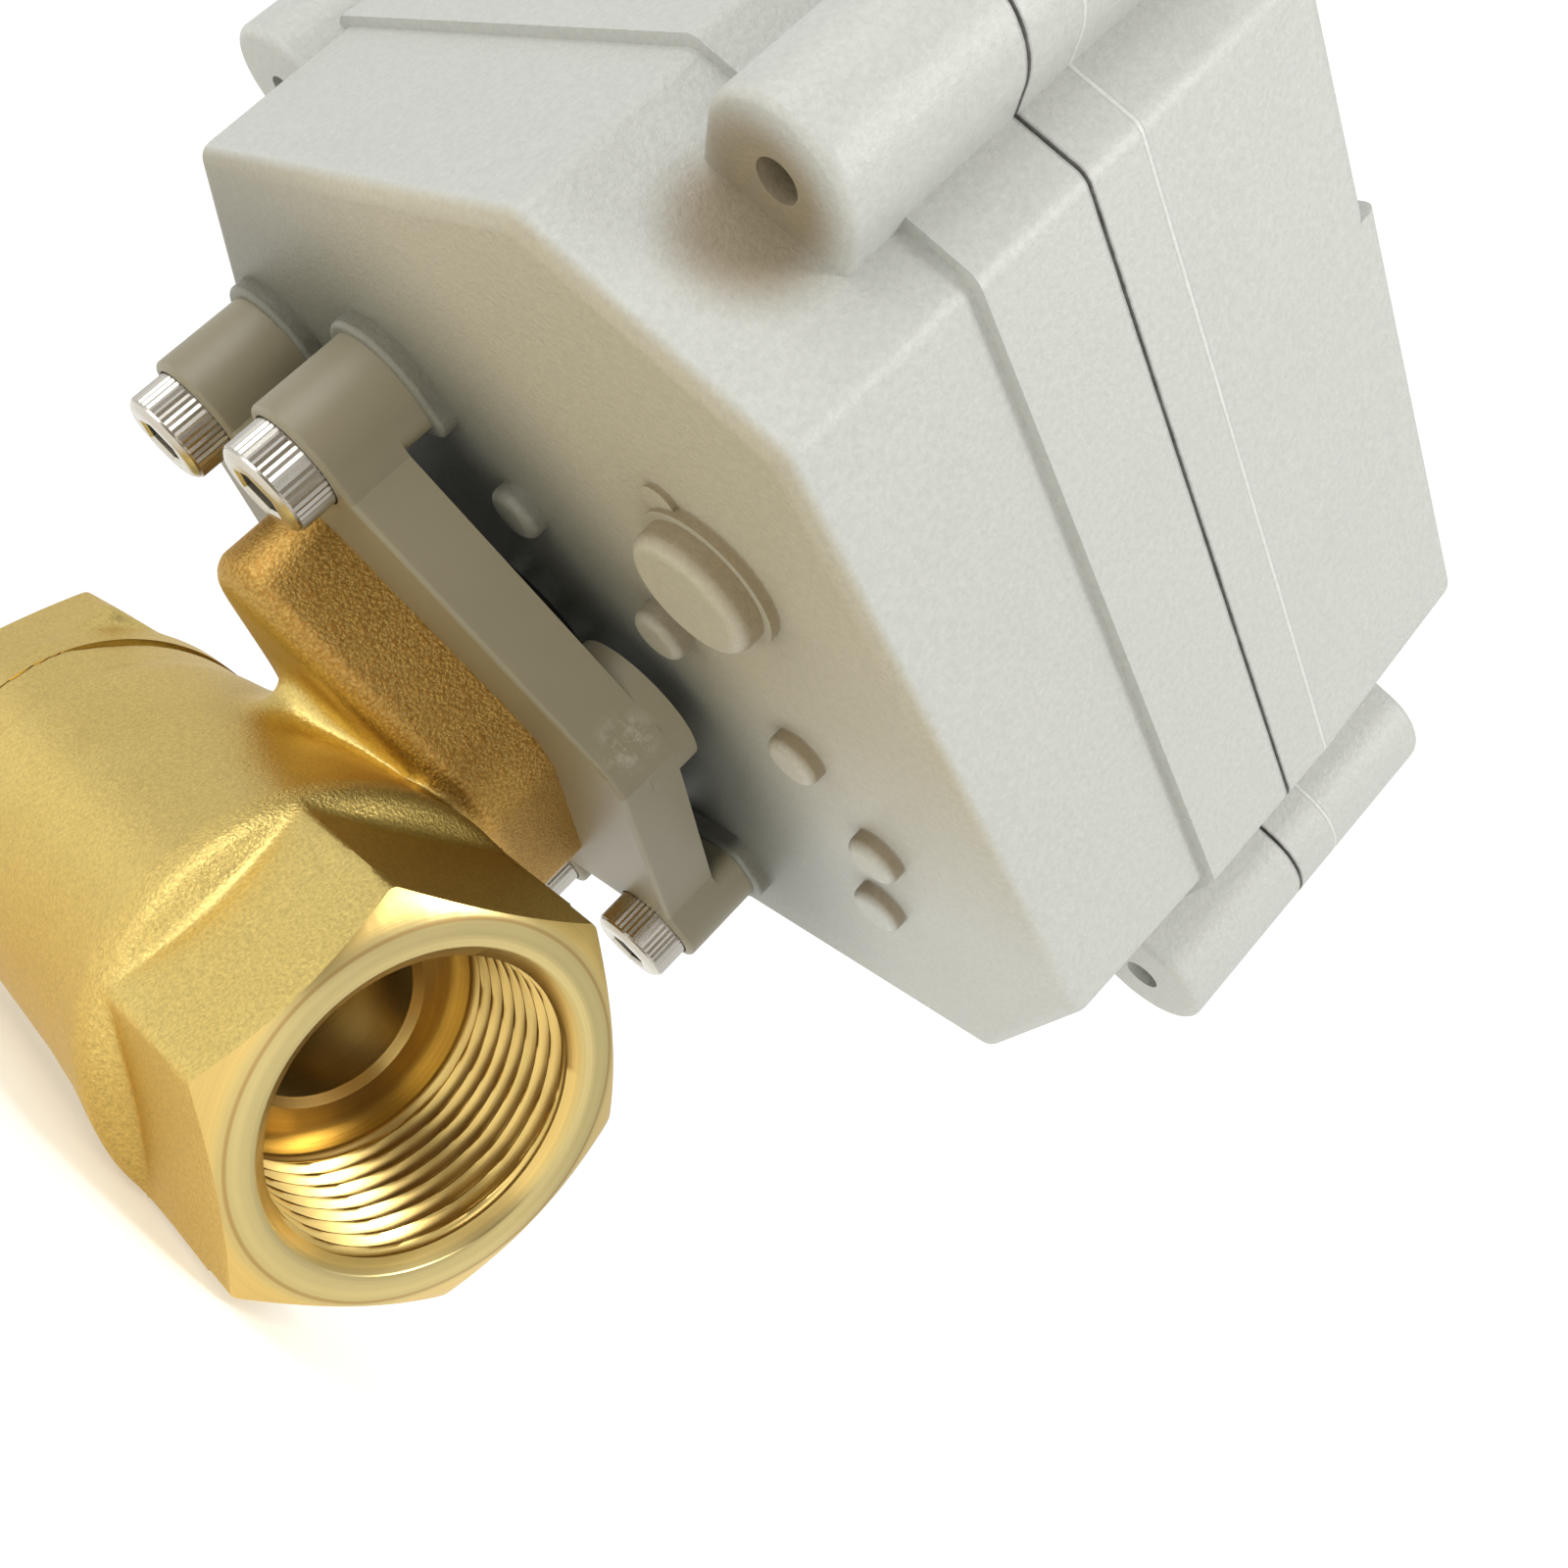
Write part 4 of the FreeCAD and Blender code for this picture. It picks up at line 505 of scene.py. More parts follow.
def turned_brass(colours, face_edge):
    """Turned brass of the port face, chamfers and thread: pale and bright, with
    fine rings left by the tool and a thin dark line of painted shade round the face's edge."""
    line_mm = 0.16
    line_depth = 0.012 * MM
    mark_mm = 0.5
    dull = 0.88
    bright = 1.06
    cloud_mm = 6.0
    least_rough = 0.24
    most_rough = 0.38
    bore_end = 39.4 * MM
    face_start = 40.2 * MM
    # Painted shade: a thin dark line round the edge of the port face
    edge_full = 0.05 * MM
    edge_end = 0.22 * MM
    edge_shade_strength = 0.5
    material, tree, output, place = new_material("turned_brass")
    axes = add_node(tree, "ShaderNodeSeparateXYZ", None, {"Vector": place})
    across = add_node(tree, "ShaderNodeCombineXYZ", None,
                      {"X": axes.outputs["Y"], "Y": axes.outputs["Z"]})
    radius = add_node(tree, "ShaderNodeVectorMath", {"operation": "LENGTH"}, {0: across})
    rings = add_node(tree, "ShaderNodeCombineXYZ", None, {"X": radius, "Y": axes.outputs["X"]})
    lines = add_node(tree, "ShaderNodeTexNoise", {"Scale": cell_scale(line_mm)}, {"Vector": rings})
    cloud = add_node(tree, "ShaderNodeTexNoise", {"Scale": cell_scale(cloud_mm)}, {"Vector": place})
    bump = add_node(tree, "ShaderNodeBump", {"Strength": 0.5, "Distance": line_depth}, {"Height": lines})
    rough = add_node(tree, "ShaderNodeMapRange", {"To Min": least_rough, "To Max": most_rough},
                     {"Value": cloud})
    reach = add_node(tree, "ShaderNodeMath", {"operation": "ABSOLUTE"}, {0: axes.outputs["X"]})
    outer = add_node(tree, "ShaderNodeMapRange", {"From Min": bore_end, "From Max": face_start},
                     {"Value": reach})
    tone = add_node(tree, "ShaderNodeMix",
                    {"data_type": "RGBA", 6: rgba(colours.turned_bore), 7: rgba(colours.machined)},
                    {0: outer})
    tool_marks = add_node(tree, "ShaderNodeTexNoise",
                          {"Scale": cell_scale(mark_mm), "Detail": 3.0, "Roughness": 0.7},
                          {"Vector": rings})
    marked = flecked(tree, tone, tool_marks, dull, bright)
    # Painted shade line round the face's edge, in deep brass
    edge = add_node(tree, "ShaderNodeMath", {"operation": "MULTIPLY", 1: edge_shade_strength},
                    {0: band(tree, radius, face_edge, edge_full, edge_end)})
    edge_shaded = add_node(tree, "ShaderNodeMix", {"data_type": "RGBA", 7: rgba(colours.brass_hollows_and_shade)},
                     {0: edge, 6: marked})
    finish_surface(tree, output, {"Metallic": 1.0},
                   {"Base Color": edge_shaded, "Roughness": rough, "Normal": bump})
    return material


def bracket_plastic(colours):
    """Moulded glass-filled nylon: satin olive grey with pale scuffs by the corner."""
    cloud_mm = 7.0
    shade = 0.9
    scuff_place = (28.5 * MM, -2.5 * MM, 31.5 * MM)
    scuff_full = 0.6 * MM
    scuff_end = 3.2 * MM
    scuff_strength = 0.5
    scuff_mm = 1.3
    scuff_start = 0.46
    scuff_whole = 0.66
    grain_mm = 0.5
    grain_depth = 0.02 * MM
    material, tree, output, place = new_material("moulded_glass_filled_nylon")
    tint = cloudy(tree, place, [c * shade for c in colours.bracket], colours.bracket, cloud_mm)
    corner = add_node(tree, "ShaderNodeVectorMath", {"operation": "DISTANCE", 1: scuff_place}, {0: place})
    near = add_node(tree, "ShaderNodeMapRange",
                    {"From Min": scuff_full, "From Max": scuff_end, "To Min": scuff_strength, "To Max": 0.0},
                    {"Value": corner})
    patches = add_node(tree, "ShaderNodeTexNoise",
                       {"Scale": cell_scale(scuff_mm), "Detail": 4.0, "Roughness": 0.75}, {"Vector": place})
    rubbed = add_node(tree, "ShaderNodeMapRange", {"From Min": scuff_start, "From Max": scuff_whole},
                      {"Value": patches})
    worn = laid_over(tree, tint, colours.scuff, near, rubbed)
    grain = add_node(tree, "ShaderNodeTexNoise", {"Scale": cell_scale(grain_mm)}, {"Vector": place})
    bump = add_node(tree, "ShaderNodeBump", {"Strength": 0.35, "Distance": grain_depth},
                    {"Height": grain})
    finish_surface(tree, output, {"Roughness": 0.42, "IOR": 1.53}, {"Base Color": worn, "Normal": bump})
    return material


def clear_polycarbonate():
    """Clear polished polycarbonate: see-through with a glossy face."""
    material, tree, output, _ = new_material("clear_polycarbonate")
    finish_surface(tree, output,
                   {"Base Color": rgba(linear("EFF4F2")), "Roughness": 0.05, "IOR": 1.58,
                    "Transmission Weight": 1.0}, {})
    return material


def paint_nodes(names, material):
    """Give carried-over solids their finish."""
    for name in names:
        target = NODES[name]
        if target.material_slots:
            for slot in target.material_slots:
                slot.material = material
        else:
            target.data.materials.append(material)


# Finishes of inner plastic pieces: name, colour, roughness, grain and its depth in millimetres, pieces
INNER_PLASTICS = (
    # Nitrile rubber: nearly black and dull
    ("moulded_nitrile_rubber", "1B1B1C", 0.7, 0.5, 0.02,
     ("stem_o_rings", "case_gasket", "window_seal", "shaft_seal", "gland_gasket", "gland_seal")),
    # PTFE: white and waxy
    ("turned_ptfe", "EFEFEA", 0.4, 0.8, 0.01,
     ("end_cap_seal", "seat_ring_near", "seat_ring_far", "stem_thrust_washer")),
    # Acetal: ivory white with a soft gloss
    ("moulded_acetal", "EDE9DC", 0.38, 0.8, 0.01, ("first_gear", "motor_pinion")),
    # Polyester: black with a soft gloss
    ("moulded_black_pbt", "26272A", 0.42, 0.5, 0.015,
     ("lower_cam", "upper_cam", "closed_switch", "open_switch")),
    # Dyed acetal: signal red
    ("moulded_red_acetal", "C42A22", 0.4, 0.5, 0.015, ("indicator_pointer",)),
    # Polyamide: leaf green
    ("moulded_green_polyamide", "2F7D4B", 0.42, 0.5, 0.015, ("terminal_block",)),
    # Vinyl sleeve: dark blue, drawn tight and glossy
    ("heat_shrunk_vinyl", "2B3350", 0.3, 3.0, 0.02, ("motor_capacitor",)),
)

# Finishes of inner metal pieces: name, colour, roughness, line distance and depth in millimetres, pieces
INNER_METALS = (
    # Hard chrome: a mirror with a warm cast
    ("hard_chrome_plate", "A89E8C", 0.2, 0.2, 0.004, ("ball",)),
    # Brass rod: yellow and bright
    ("turned_free_cutting_brass", "E0C878", 0.24, 0.2, 0.004, ("stem", "lower_bushing", "upper_bushing")),
    # Zinc plate: cool grey and satin
    ("zinc_plated_steel", "BFC1C2", 0.3, 0.2, 0.004,
     ("pad_screws", "case_screws", "gear_plate_screws", "motor_screws", "switch_screws", "board_screws")),
    # Ground steel: grey and bright
    ("ground_steel", "B5B5B3", 0.22, 0.2, 0.004,
     ("output_shaft", "second_gear_axle", "first_gear_axle", "motor_shaft", "shaft_clip",
      "motor_armature")),
    # Galvanised sheet: pale and satin, with soft waves from the press
    ("stamped_galvanised_sheet", "B9BBB8", 0.38, 2.5, 0.01, ("gear_plate", "motor")),
    # Sintered steel: dark, dull with oil and finely pitted
    ("oiled_sintered_steel", "6B6A68", 0.48, 0.35, 0.02, ("output_gear", "second_gear")),
    # Rolled spring steel: pale and bright
    ("rolled_spring_steel", "C9C8C2", 0.2, 0.2, 0.004, ("closed_switch_lever", "open_switch_lever")),
)


# Mesh helpers

def mesh_object(name, vertices, faces, material=None):
    """A linked object with a clean mesh that faces outwards."""
    mesh = bpy.data.meshes.new(name)
    mesh.from_pydata([tuple(v) for v in vertices], [], faces)
    mesh.validate()
    if material:
        mesh.materials.append(material)
    outward(mesh)
    obj = bpy.data.objects.new(name, mesh)
    bpy.context.scene.collection.objects.link(obj)
    return obj


def outward(mesh):
    """Merge doubles and point every face outwards."""
    merge_gap = 1e-7
    work = bmesh.new()
    work.from_mesh(mesh)
    bmesh.ops.remove_doubles(work, verts=work.verts, dist=merge_gap)
    bmesh.ops.recalc_face_normals(work, faces=work.faces)
    work.to_mesh(mesh)
    work.free()


def rings_to_faces(ring_starts, steps):
    """Quads between rings; a ring start given as (index,) is a pole."""
    faces = []
    for low, high in zip(ring_starts, ring_starts[1:]):
        for k in range(steps):
            following = (k + 1) % steps
            if isinstance(low, tuple):
                faces.append((low[0], high + k, high + following))
            elif isinstance(high, tuple):
                faces.append((low + k, high[0], low + following))
            else:
                faces.append((low + k, high + k, high + following, low + following))
    return faces


def turned(name, profile, steps, material=None, axis="X", radius_at=None):
    """A solid of revolution from (place, radius) points, closed at both ends.
    radius_at(place, radius, angle) may change a point's radius."""
    vertices = []
    starts = []
    for place, radius in profile:
        if radius == 0:
            starts.append((len(vertices),))
            vertices.append((place, 0.0, 0.0))
            continue
        starts.append(len(vertices))
        for k in range(steps):
            angle = 2 * math.pi * k / steps
            reach = radius_at(place, radius, angle) if radius_at else radius
            vertices.append((place, reach * math.cos(angle), reach * math.sin(angle)))
    if axis == "Z":
        vertices = [(y, z, x) for x, y, z in vertices]
    return mesh_object(name, vertices, rings_to_faces(starts, steps), material)


def between_outlines(name, outlines, material=None):
    """A closed solid through outlines with equal numbers of points."""
    count = len(outlines[0])
    vertices = [point for outline in outlines for point in outline]
    starts = [index * count for index in range(len(outlines))]
    faces = rings_to_faces(starts, count)
    faces.append(tuple(range(count)))
    faces.append(tuple(starts[-1] + k for k in reversed(range(count))))
    return mesh_object(name, vertices, faces, material)


def hull_points(circles, z, arc_steps=10):
    """Points round the outline of circles (x, y, radius), anticlockwise."""
    turns = []
    for (x0, y0, r0), (x1, y1, r1) in zip(circles, circles[1:] + circles[:1]):
        heading = math.atan2(y1 - y0, x1 - x0)
        lean = math.asin((r0 - r1) / math.hypot(x1 - x0, y1 - y0))
        turns.append(heading - math.pi / 2 + lean)
    points = []
    for index, (x, y, r) in enumerate(circles):
        start = turns[index - 1]
        end = turns[index]
        while end < start:
            end += 2 * math.pi
        for k in range(arc_steps + 1):
            angle = start + (end - start) * k / arc_steps
            points.append((x + r * math.cos(angle), y + r * math.sin(angle), z))
    return points


def join(name, objects):
    """One object that holds the meshes of several."""
    work = bmesh.new()
    for obj in objects:
        work.from_mesh(obj.data)
    mesh = bpy.data.meshes.new(name)
    work.to_mesh(mesh)
    work.free()
    for obj in objects:
        remove(obj)
    whole = bpy.data.objects.new(name, mesh)
    bpy.context.scene.collection.objects.link(whole)
    return whole


def remove(obj):
    """Delete an object and its mesh."""
    mesh = obj.data
    bpy.data.objects.remove(obj)
    if mesh.users == 0:
        bpy.data.meshes.remove(mesh)


def baked(obj):
    """Turn an object's modifiers into its plain mesh."""
    graph = bpy.context.evaluated_depsgraph_get()
    mesh = bpy.data.meshes.new_from_object(obj.evaluated_get(graph))
    old = obj.data
    obj.modifiers.clear()
    obj.data = mesh
    mesh.name = obj.name
    if old.users == 0:
        bpy.data.meshes.remove(old)
    return obj


def combine(obj, other, operation):
    """Join, intersect or subtract another solid; its faces keep their finish."""
    modifier = obj.modifiers.new("combine", "BOOLEAN")
    modifier.operation = operation
    modifier.solver = "MANIFOLD"
    modifier.material_mode = "TRANSFER"
    modifier.object = other
    baked(obj)
    remove(other)


def cut(obj, cutters):
    """Subtract one tool after another."""
    for cutter in cutters:
        combine(obj, cutter, "DIFFERENCE")


def crisp(obj, degrees=35.0):
    """Smooth shading that breaks at real edges."""
    obj.data.polygons.foreach_set("use_smooth", [True] * len(obj.data.polygons))
    obj.data.set_sharp_from_angle(angle=math.radians(degrees))


# Brass pieces

def hexagon_ring(flats, x, corner_degrees):
    """Corners of a hexagon across the pipe, from its width across flats."""
    reach = flats / 2 / math.cos(math.radians(30))
    angles = [math.radians(corner_degrees + 60 * k) for k in range(6)]
    return [(x, reach * math.cos(a), reach * math.sin(a)) for a in angles]


def thread_groove(sizes, place, radius, angle, direction):
    """Radius of the tapped hole where the helix passes; elsewhere unchanged."""
    crest_share = 0.12
    flank_share = 0.76
    run_out = 0.9 * sizes.thread_pitch
    low, high = sorted((sizes.thread_end, sizes.thread_start))
    if not low <= abs(place) <= high or abs(radius - sizes.thread_minor) > TINY:
        return radius
    turn = abs(place) / sizes.thread_pitch - direction * angle / (2 * math.pi)
    triangle = 1.0 - abs(2 * (turn % 1.0) - 1.0)
    share = min(max((triangle - crest_share) / flank_share, 0.0), 1.0)
    fade = min((high - abs(place)) / run_out, (abs(place) - low) / run_out, 1.0)
    return radius + share * fade * (sizes.thread_major - sizes.thread_minor)


def port_cutter(name, sizes, inner, side, material):
    """Everything that the lathe takes out of one port, with its thread."""
    rows_per_turn = 14
    edge = 0.14 * MM
    relief = sizes.thread_end - 1.2 * MM
    inner_chamfer = 0.7 * MM
    face = BODY_HIGH.x
    mouth = sizes.mouth_radius
    crest = sizes.thread_minor
    chamfer_end = face - (mouth - crest)
    count = int((sizes.thread_start - sizes.thread_end) / sizes.thread_pitch * rows_per_turn)
    rows = [sizes.thread_start + (sizes.thread_end - sizes.thread_start) * k / count
            for k in range(count + 1)]
    profile = [(face + TOOL_RUN, 0.0), (face + TOOL_RUN, mouth + TOOL_RUN)]
    profile += [(face - down * edge, mouth + out * edge) for down, out in BROKEN_EDGE]
    profile.append((chamfer_end, crest))
    profile += [(x, crest) for x in rows if x < chamfer_end - TINY]
    profile += [(relief, crest), (relief, sizes.flow_radius + inner_chamfer),
                (relief - inner_chamfer, sizes.flow_radius)]
    profile += inner
    return turned(name, [(side * x, r) for x, r in profile], PORT_STEPS, material,
                  radius_at=lambda x, r, a: thread_groove(sizes, x, r, a, side))


def face_cutter(name, sizes, side, material):
    """Faces the port and turns the chamfer across the hexagon's corners."""
    face = BODY_HIGH.x
    reach = 21.0 * MM
    chamfer_slope = 0.58
    clear = face + 2 * TOOL_RUN
    back = face - (reach - sizes.port_ring_radius) * chamfer_slope
    profile = [(face, 0.0), (face, sizes.port_ring_radius), (back, reach), (clear, reach), (clear, 0.0)]
    return turned(name, [(side * x, r) for x, r in profile], PORT_STEPS, material)


def soften(obj, name, weights, factor, repeat):
    """Laplacian smoothing held to a weighted area."""
    least_weight = 0.01
    group = obj.vertex_groups.new(name=name)
    for index, weight in enumerate(weights):
        if weight > least_weight:
            group.add([index], float(weight), "REPLACE")
    modifier = obj.modifiers.new(name, "SMOOTH")
    modifier.factor = factor
    modifier.iterations = repeat
    modifier.vertex_group = name
    baked(obj)


def ramp(values, low, high):
    """0 below low, 1 above high, and even between."""
    return np.clip((values - low) / (high - low), 0.0, 1.0)


def remeshed(obj, voxel):
    """One closed skin round everything in a mesh."""
    modifier = obj.modifiers.new("skin", "REMESH")
    modifier.mode = "VOXEL"
    modifier.voxel_size = voxel
    modifier.use_smooth_shade = True
    return baked(obj)


def corner_points(obj):
    """The places of a mesh's points, one row each."""
    values = np.zeros(len(obj.data.vertices) * 3)
    obj.data.vertices.foreach_get("co", values)
    return values.reshape(-1, 3)


def barrel_blank():
    """The round barrel, thin where the cap screws in, with a swell before the hexagon."""
    swell_start = 6.0 * MM
    swell = [(x * MM, r * MM) for x, r in SWELL_MM]
    profile = [(JOINT_X, 0), (JOINT_X, THIN_R), (STEP_X - STEP_RUN, THIN_R),
               (STEP_X, BARREL_R), (swell_start, BARREL_R)] + swell
    profile.append((swell[-1][0], 0))
    return turned("barrel", profile, LATHE_STEPS)


def pad_outline(inset, z):
    """Outline of the pad for the bracket: a lozenge with rounded ends."""
    end_r = 5.9 * MM
    end_y = BODY_HIGH.y - end_r
    side_r = 8.0 * MM
    side_x = 9.0 * MM
    circles = [(0.0, -end_y, end_r - inset), (side_x, 0.0, side_r - inset),
               (0.0, end_y, end_r - inset), (-side_x, 0.0, side_r - inset)]
    return hull_points(circles, z)


def neck_outline(z, grow):
    """Outline of the neck between barrel and pad, wider by grow."""
    radius = 4.6 * MM + grow
    half_x = 7.6 * MM
    half_y = 6.0 * MM
    circles = [(0.0, -half_y, radius), (half_x, 0.0, radius),
               (0.0, half_y, radius), (-half_x, 0.0, radius)]
    return hull_points(circles, z)


def soften_forging(body, pad_low):
    """Evens the whole skin a little and lets the neck flow into barrel and pad."""
    neck_start = 7.0 * MM
    neck_full = 11.0 * MM
    below_pad = 0.9 * MM
    pad_rise = 2.2 * MM
    ring_start = 19.5 * MM
    ring_full = 21.5 * MM
    soften(body, "all", np.ones(len(body.data.vertices)), factor=0.5, repeat=2)
    points = corner_points(body)
    under_pad = 1 - ramp(points[:, 2], pad_low - below_pad, pad_low + pad_rise)
    before_ring = 1 - ramp(points[:, 0], ring_start, ring_full)
    neck_area = ramp(points[:, 2], neck_start, neck_full) * under_pad * before_ring
    soften(body, "neck_blend", neck_area, factor=0.7, repeat=90)


def body_cutters(sizes, blasted, turned_finish):
    """The tools that face, bore and tap the body."""
    top = BODY_HIGH.z
    above = top + 2 * TOOL_RUN
    far = 40 * MM
    seat = 12.5 * MM
    cavity = 12.6 * MM
    plug = 14.6 * MM
    bore_end = -25.5 * MM
    stem_start = 5 * MM
    collar_top = 15.2 * MM
    collar_r = 7.1 * MM
    stem_r = 5.05 * MM
    step_back = 0.2 * MM
    step_x = STEP_X - step_back
    step_end = -26.0 * MM
    step_r = 18.45 * MM
    hole_depth = 8.0 * MM
    hole_r = 2.05 * MM
    hole_y = 16.8 * MM
    inner = [(seat, sizes.flow_radius), (seat, cavity), (-seat, cavity), (-seat, plug),
             (bore_end, plug), (bore_end, 0.0)]
    step = turned("step_tool", [(step_end, THIN_R), (step_x - STEP_RUN, THIN_R), (step_x, BARREL_R),
                                (step_x, step_r), (step_end, step_r), (step_end, THIN_R)],
                  LATHE_STEPS, blasted)
    stem = turned("stem_hole", [(stem_start, 0), (stem_start, collar_r), (collar_top, collar_r),
                                (collar_top, stem_r), (above, stem_r), (above, 0)],
                  STEM_STEPS, turned_finish, axis="Z")
    pad_face = turned("pad_face", [(top, 0), (top, far), (top + 4 * TOOL_RUN, far),
                                   (top + 4 * TOOL_RUN, 0)],
                      HOLE_STEPS, turned_finish, axis="Z")
    cutters = [step, face_cutter("face_tool", sizes, 1, turned_finish),
               port_cutter("port_tool", sizes, inner, 1, turned_finish), stem, pad_face]
    for side in (-1, 1):
        hole = turned("pad_hole", [(top - hole_depth, 0), (top - hole_depth, hole_r),
                                   (above, hole_r), (above, 0)],
                      HOLE_STEPS, turned_finish, axis="Z")
        hole.data.transform(Matrix.Translation((0, side * hole_y, 0)))
        cutters.append(hole)
    return cutters


def forged_body(sizes, blasted, turned_finish):
    """The body forging: barrel, hexagon, neck and pad grown into one skin,
    then faced, bored and tapped."""
    hex_start = 19.5 * MM
    top = BODY_HIGH.z
    pad_low = top - 9.6 * MM
    hexagon = between_outlines("hexagon", [
        hexagon_ring(HEX_ROOT, hex_start, BODY_HEX_TURN),
        hexagon_ring(HEX_FACE, BODY_HIGH.x + TOOL_RUN, BODY_HEX_TURN)])
    pad = between_outlines("pad", [pad_outline(inset * MM, pad_low + rise * MM)
                                   for inset, rise in PAD_EDGE_MM]
                           + [pad_outline(0.0, top + TOOL_RUN)])
    neck = between_outlines("neck", [neck_outline(z * MM, grow * MM) for z, grow in NECK_FOOT_MM]
                            + [neck_outline(pad_low + rise * MM, grow * MM)
                               for rise, grow in NECK_TOP_MM])
    body = remeshed(join("valve_body_forging", [barrel_blank(), hexagon, pad, neck]),
                    sizes.forging_voxel)
    soften_forging(body, pad_low)
    body.data.materials.clear()
    body.data.materials.append(blasted)
    cut(body, body_cutters(sizes, blasted, turned_finish))
    crisp(body)
    return body


def cap_blank(sizes):
    """The end cap's skin: a round collar and a hexagon with a turned root."""
    face = CAP_LOW.x
    start = -23.0 * MM
    collar_end = -28.6 * MM
    root = -30.0 * MM
    root_r = 16.4 * MM
    hex_start = -29.0 * MM
    trim_start = -28.0 * MM
    trim_r = 16.25 * MM
    trim_end = -31.8 * MM
    corner_r = 20.05 * MM
    past_face = face - 2 * TOOL_RUN
    collar = turned("cap_collar", [(start, 0), (start, THIN_R), (collar_end, THIN_R),
                                   (root, root_r), (root, 0)], LATHE_STEPS)
    hexagon = between_outlines("cap_hexagon", [
        hexagon_ring(HEX_ROOT, hex_start, CAP_HEX_TURN),
        hexagon_ring(HEX_FACE, face - TOOL_RUN, CAP_HEX_TURN)])
    trim = turned("cap_trim", [(trim_start, 0), (trim_start, trim_r), (trim_end, corner_r),
                               (past_face, corner_r), (past_face, 0)], LATHE_STEPS)
    combine(hexagon, trim, "INTERSECT")
    return remeshed(join("end_cap_forging", [collar, hexagon]), sizes.forging_voxel)


def forged_cap(sizes, blasted, turned_finish):
    """The end cap: collar and hexagon, with the second tapped port."""
    seat = 12.5 * MM
    seat_lip = 2 * MM
    joint_r = 22 * MM
    joint_end = -20.0 * MM
    nose_x = -12.5 * MM
    nose_r = 12.5 * MM
    nose_end = -14.0 * MM
    plug_r = 14.5 * MM
    plug_end = -24.7 * MM
    cap = cap_blank(sizes)
    soften(cap, "all", np.ones(len(cap.data.vertices)), factor=0.6, repeat=12)
    cap.data.materials.clear()
    cap.data.materials.append(blasted)
    joint = turned("cap_joint", [(JOINT_X, 0), (JOINT_X, joint_r), (joint_end, joint_r),
                                 (joint_end, 0)], LATHE_STEPS, turned_finish)
    cut(cap, [face_cutter("cap_face_tool", sizes, -1, turned_finish), joint])
    plug = turned("cap_plug", [(nose_x, 0), (nose_x, nose_r), (nose_end, nose_r),
                               (nose_end, plug_r), (plug_end, plug_r), (plug_end, 0)],
                  LATHE_STEPS, turned_finish)
    combine(cap, plug, "UNION")
    inner = [(seat, sizes.flow_radius), (seat - seat_lip, sizes.flow_radius), (seat - seat_lip, 0.0)]
    cut(cap, [port_cutter("cap_port_tool", sizes, inner, -1, turned_finish)])
    crisp(cap)
    return cap


# Geometry node helpers

def node_group(name, inputs):
    """A geometry tree with a geometry output and the named inputs."""
    tree = bpy.data.node_groups.new(name, "GeometryNodeTree")
    tree.interface.new_socket("Geometry", in_out="OUTPUT", socket_type="NodeSocketGeometry")
    tree.interface.new_socket("Geometry", in_out="INPUT", socket_type="NodeSocketGeometry")
    for label, kind in inputs:
        tree.interface.new_socket(label, in_out="INPUT", socket_type=kind)
    start = add_node(tree, "NodeGroupInput")
    end = add_node(tree, "NodeGroupOutput")
    return tree, start.outputs, end.inputs["Geometry"]


def run_nodes(obj, tree, values):
    """Attach the tree, set its inputs by their identifiers, and keep the result."""
    modifier = obj.modifiers.new(tree.name, "NODES")
    modifier.node_group = tree
    for item in tree.interface.items_tree:
        if item.in_out == "INPUT" and item.name in values:
            modifier[item.identifier] = values[item.name]
    return baked(obj)


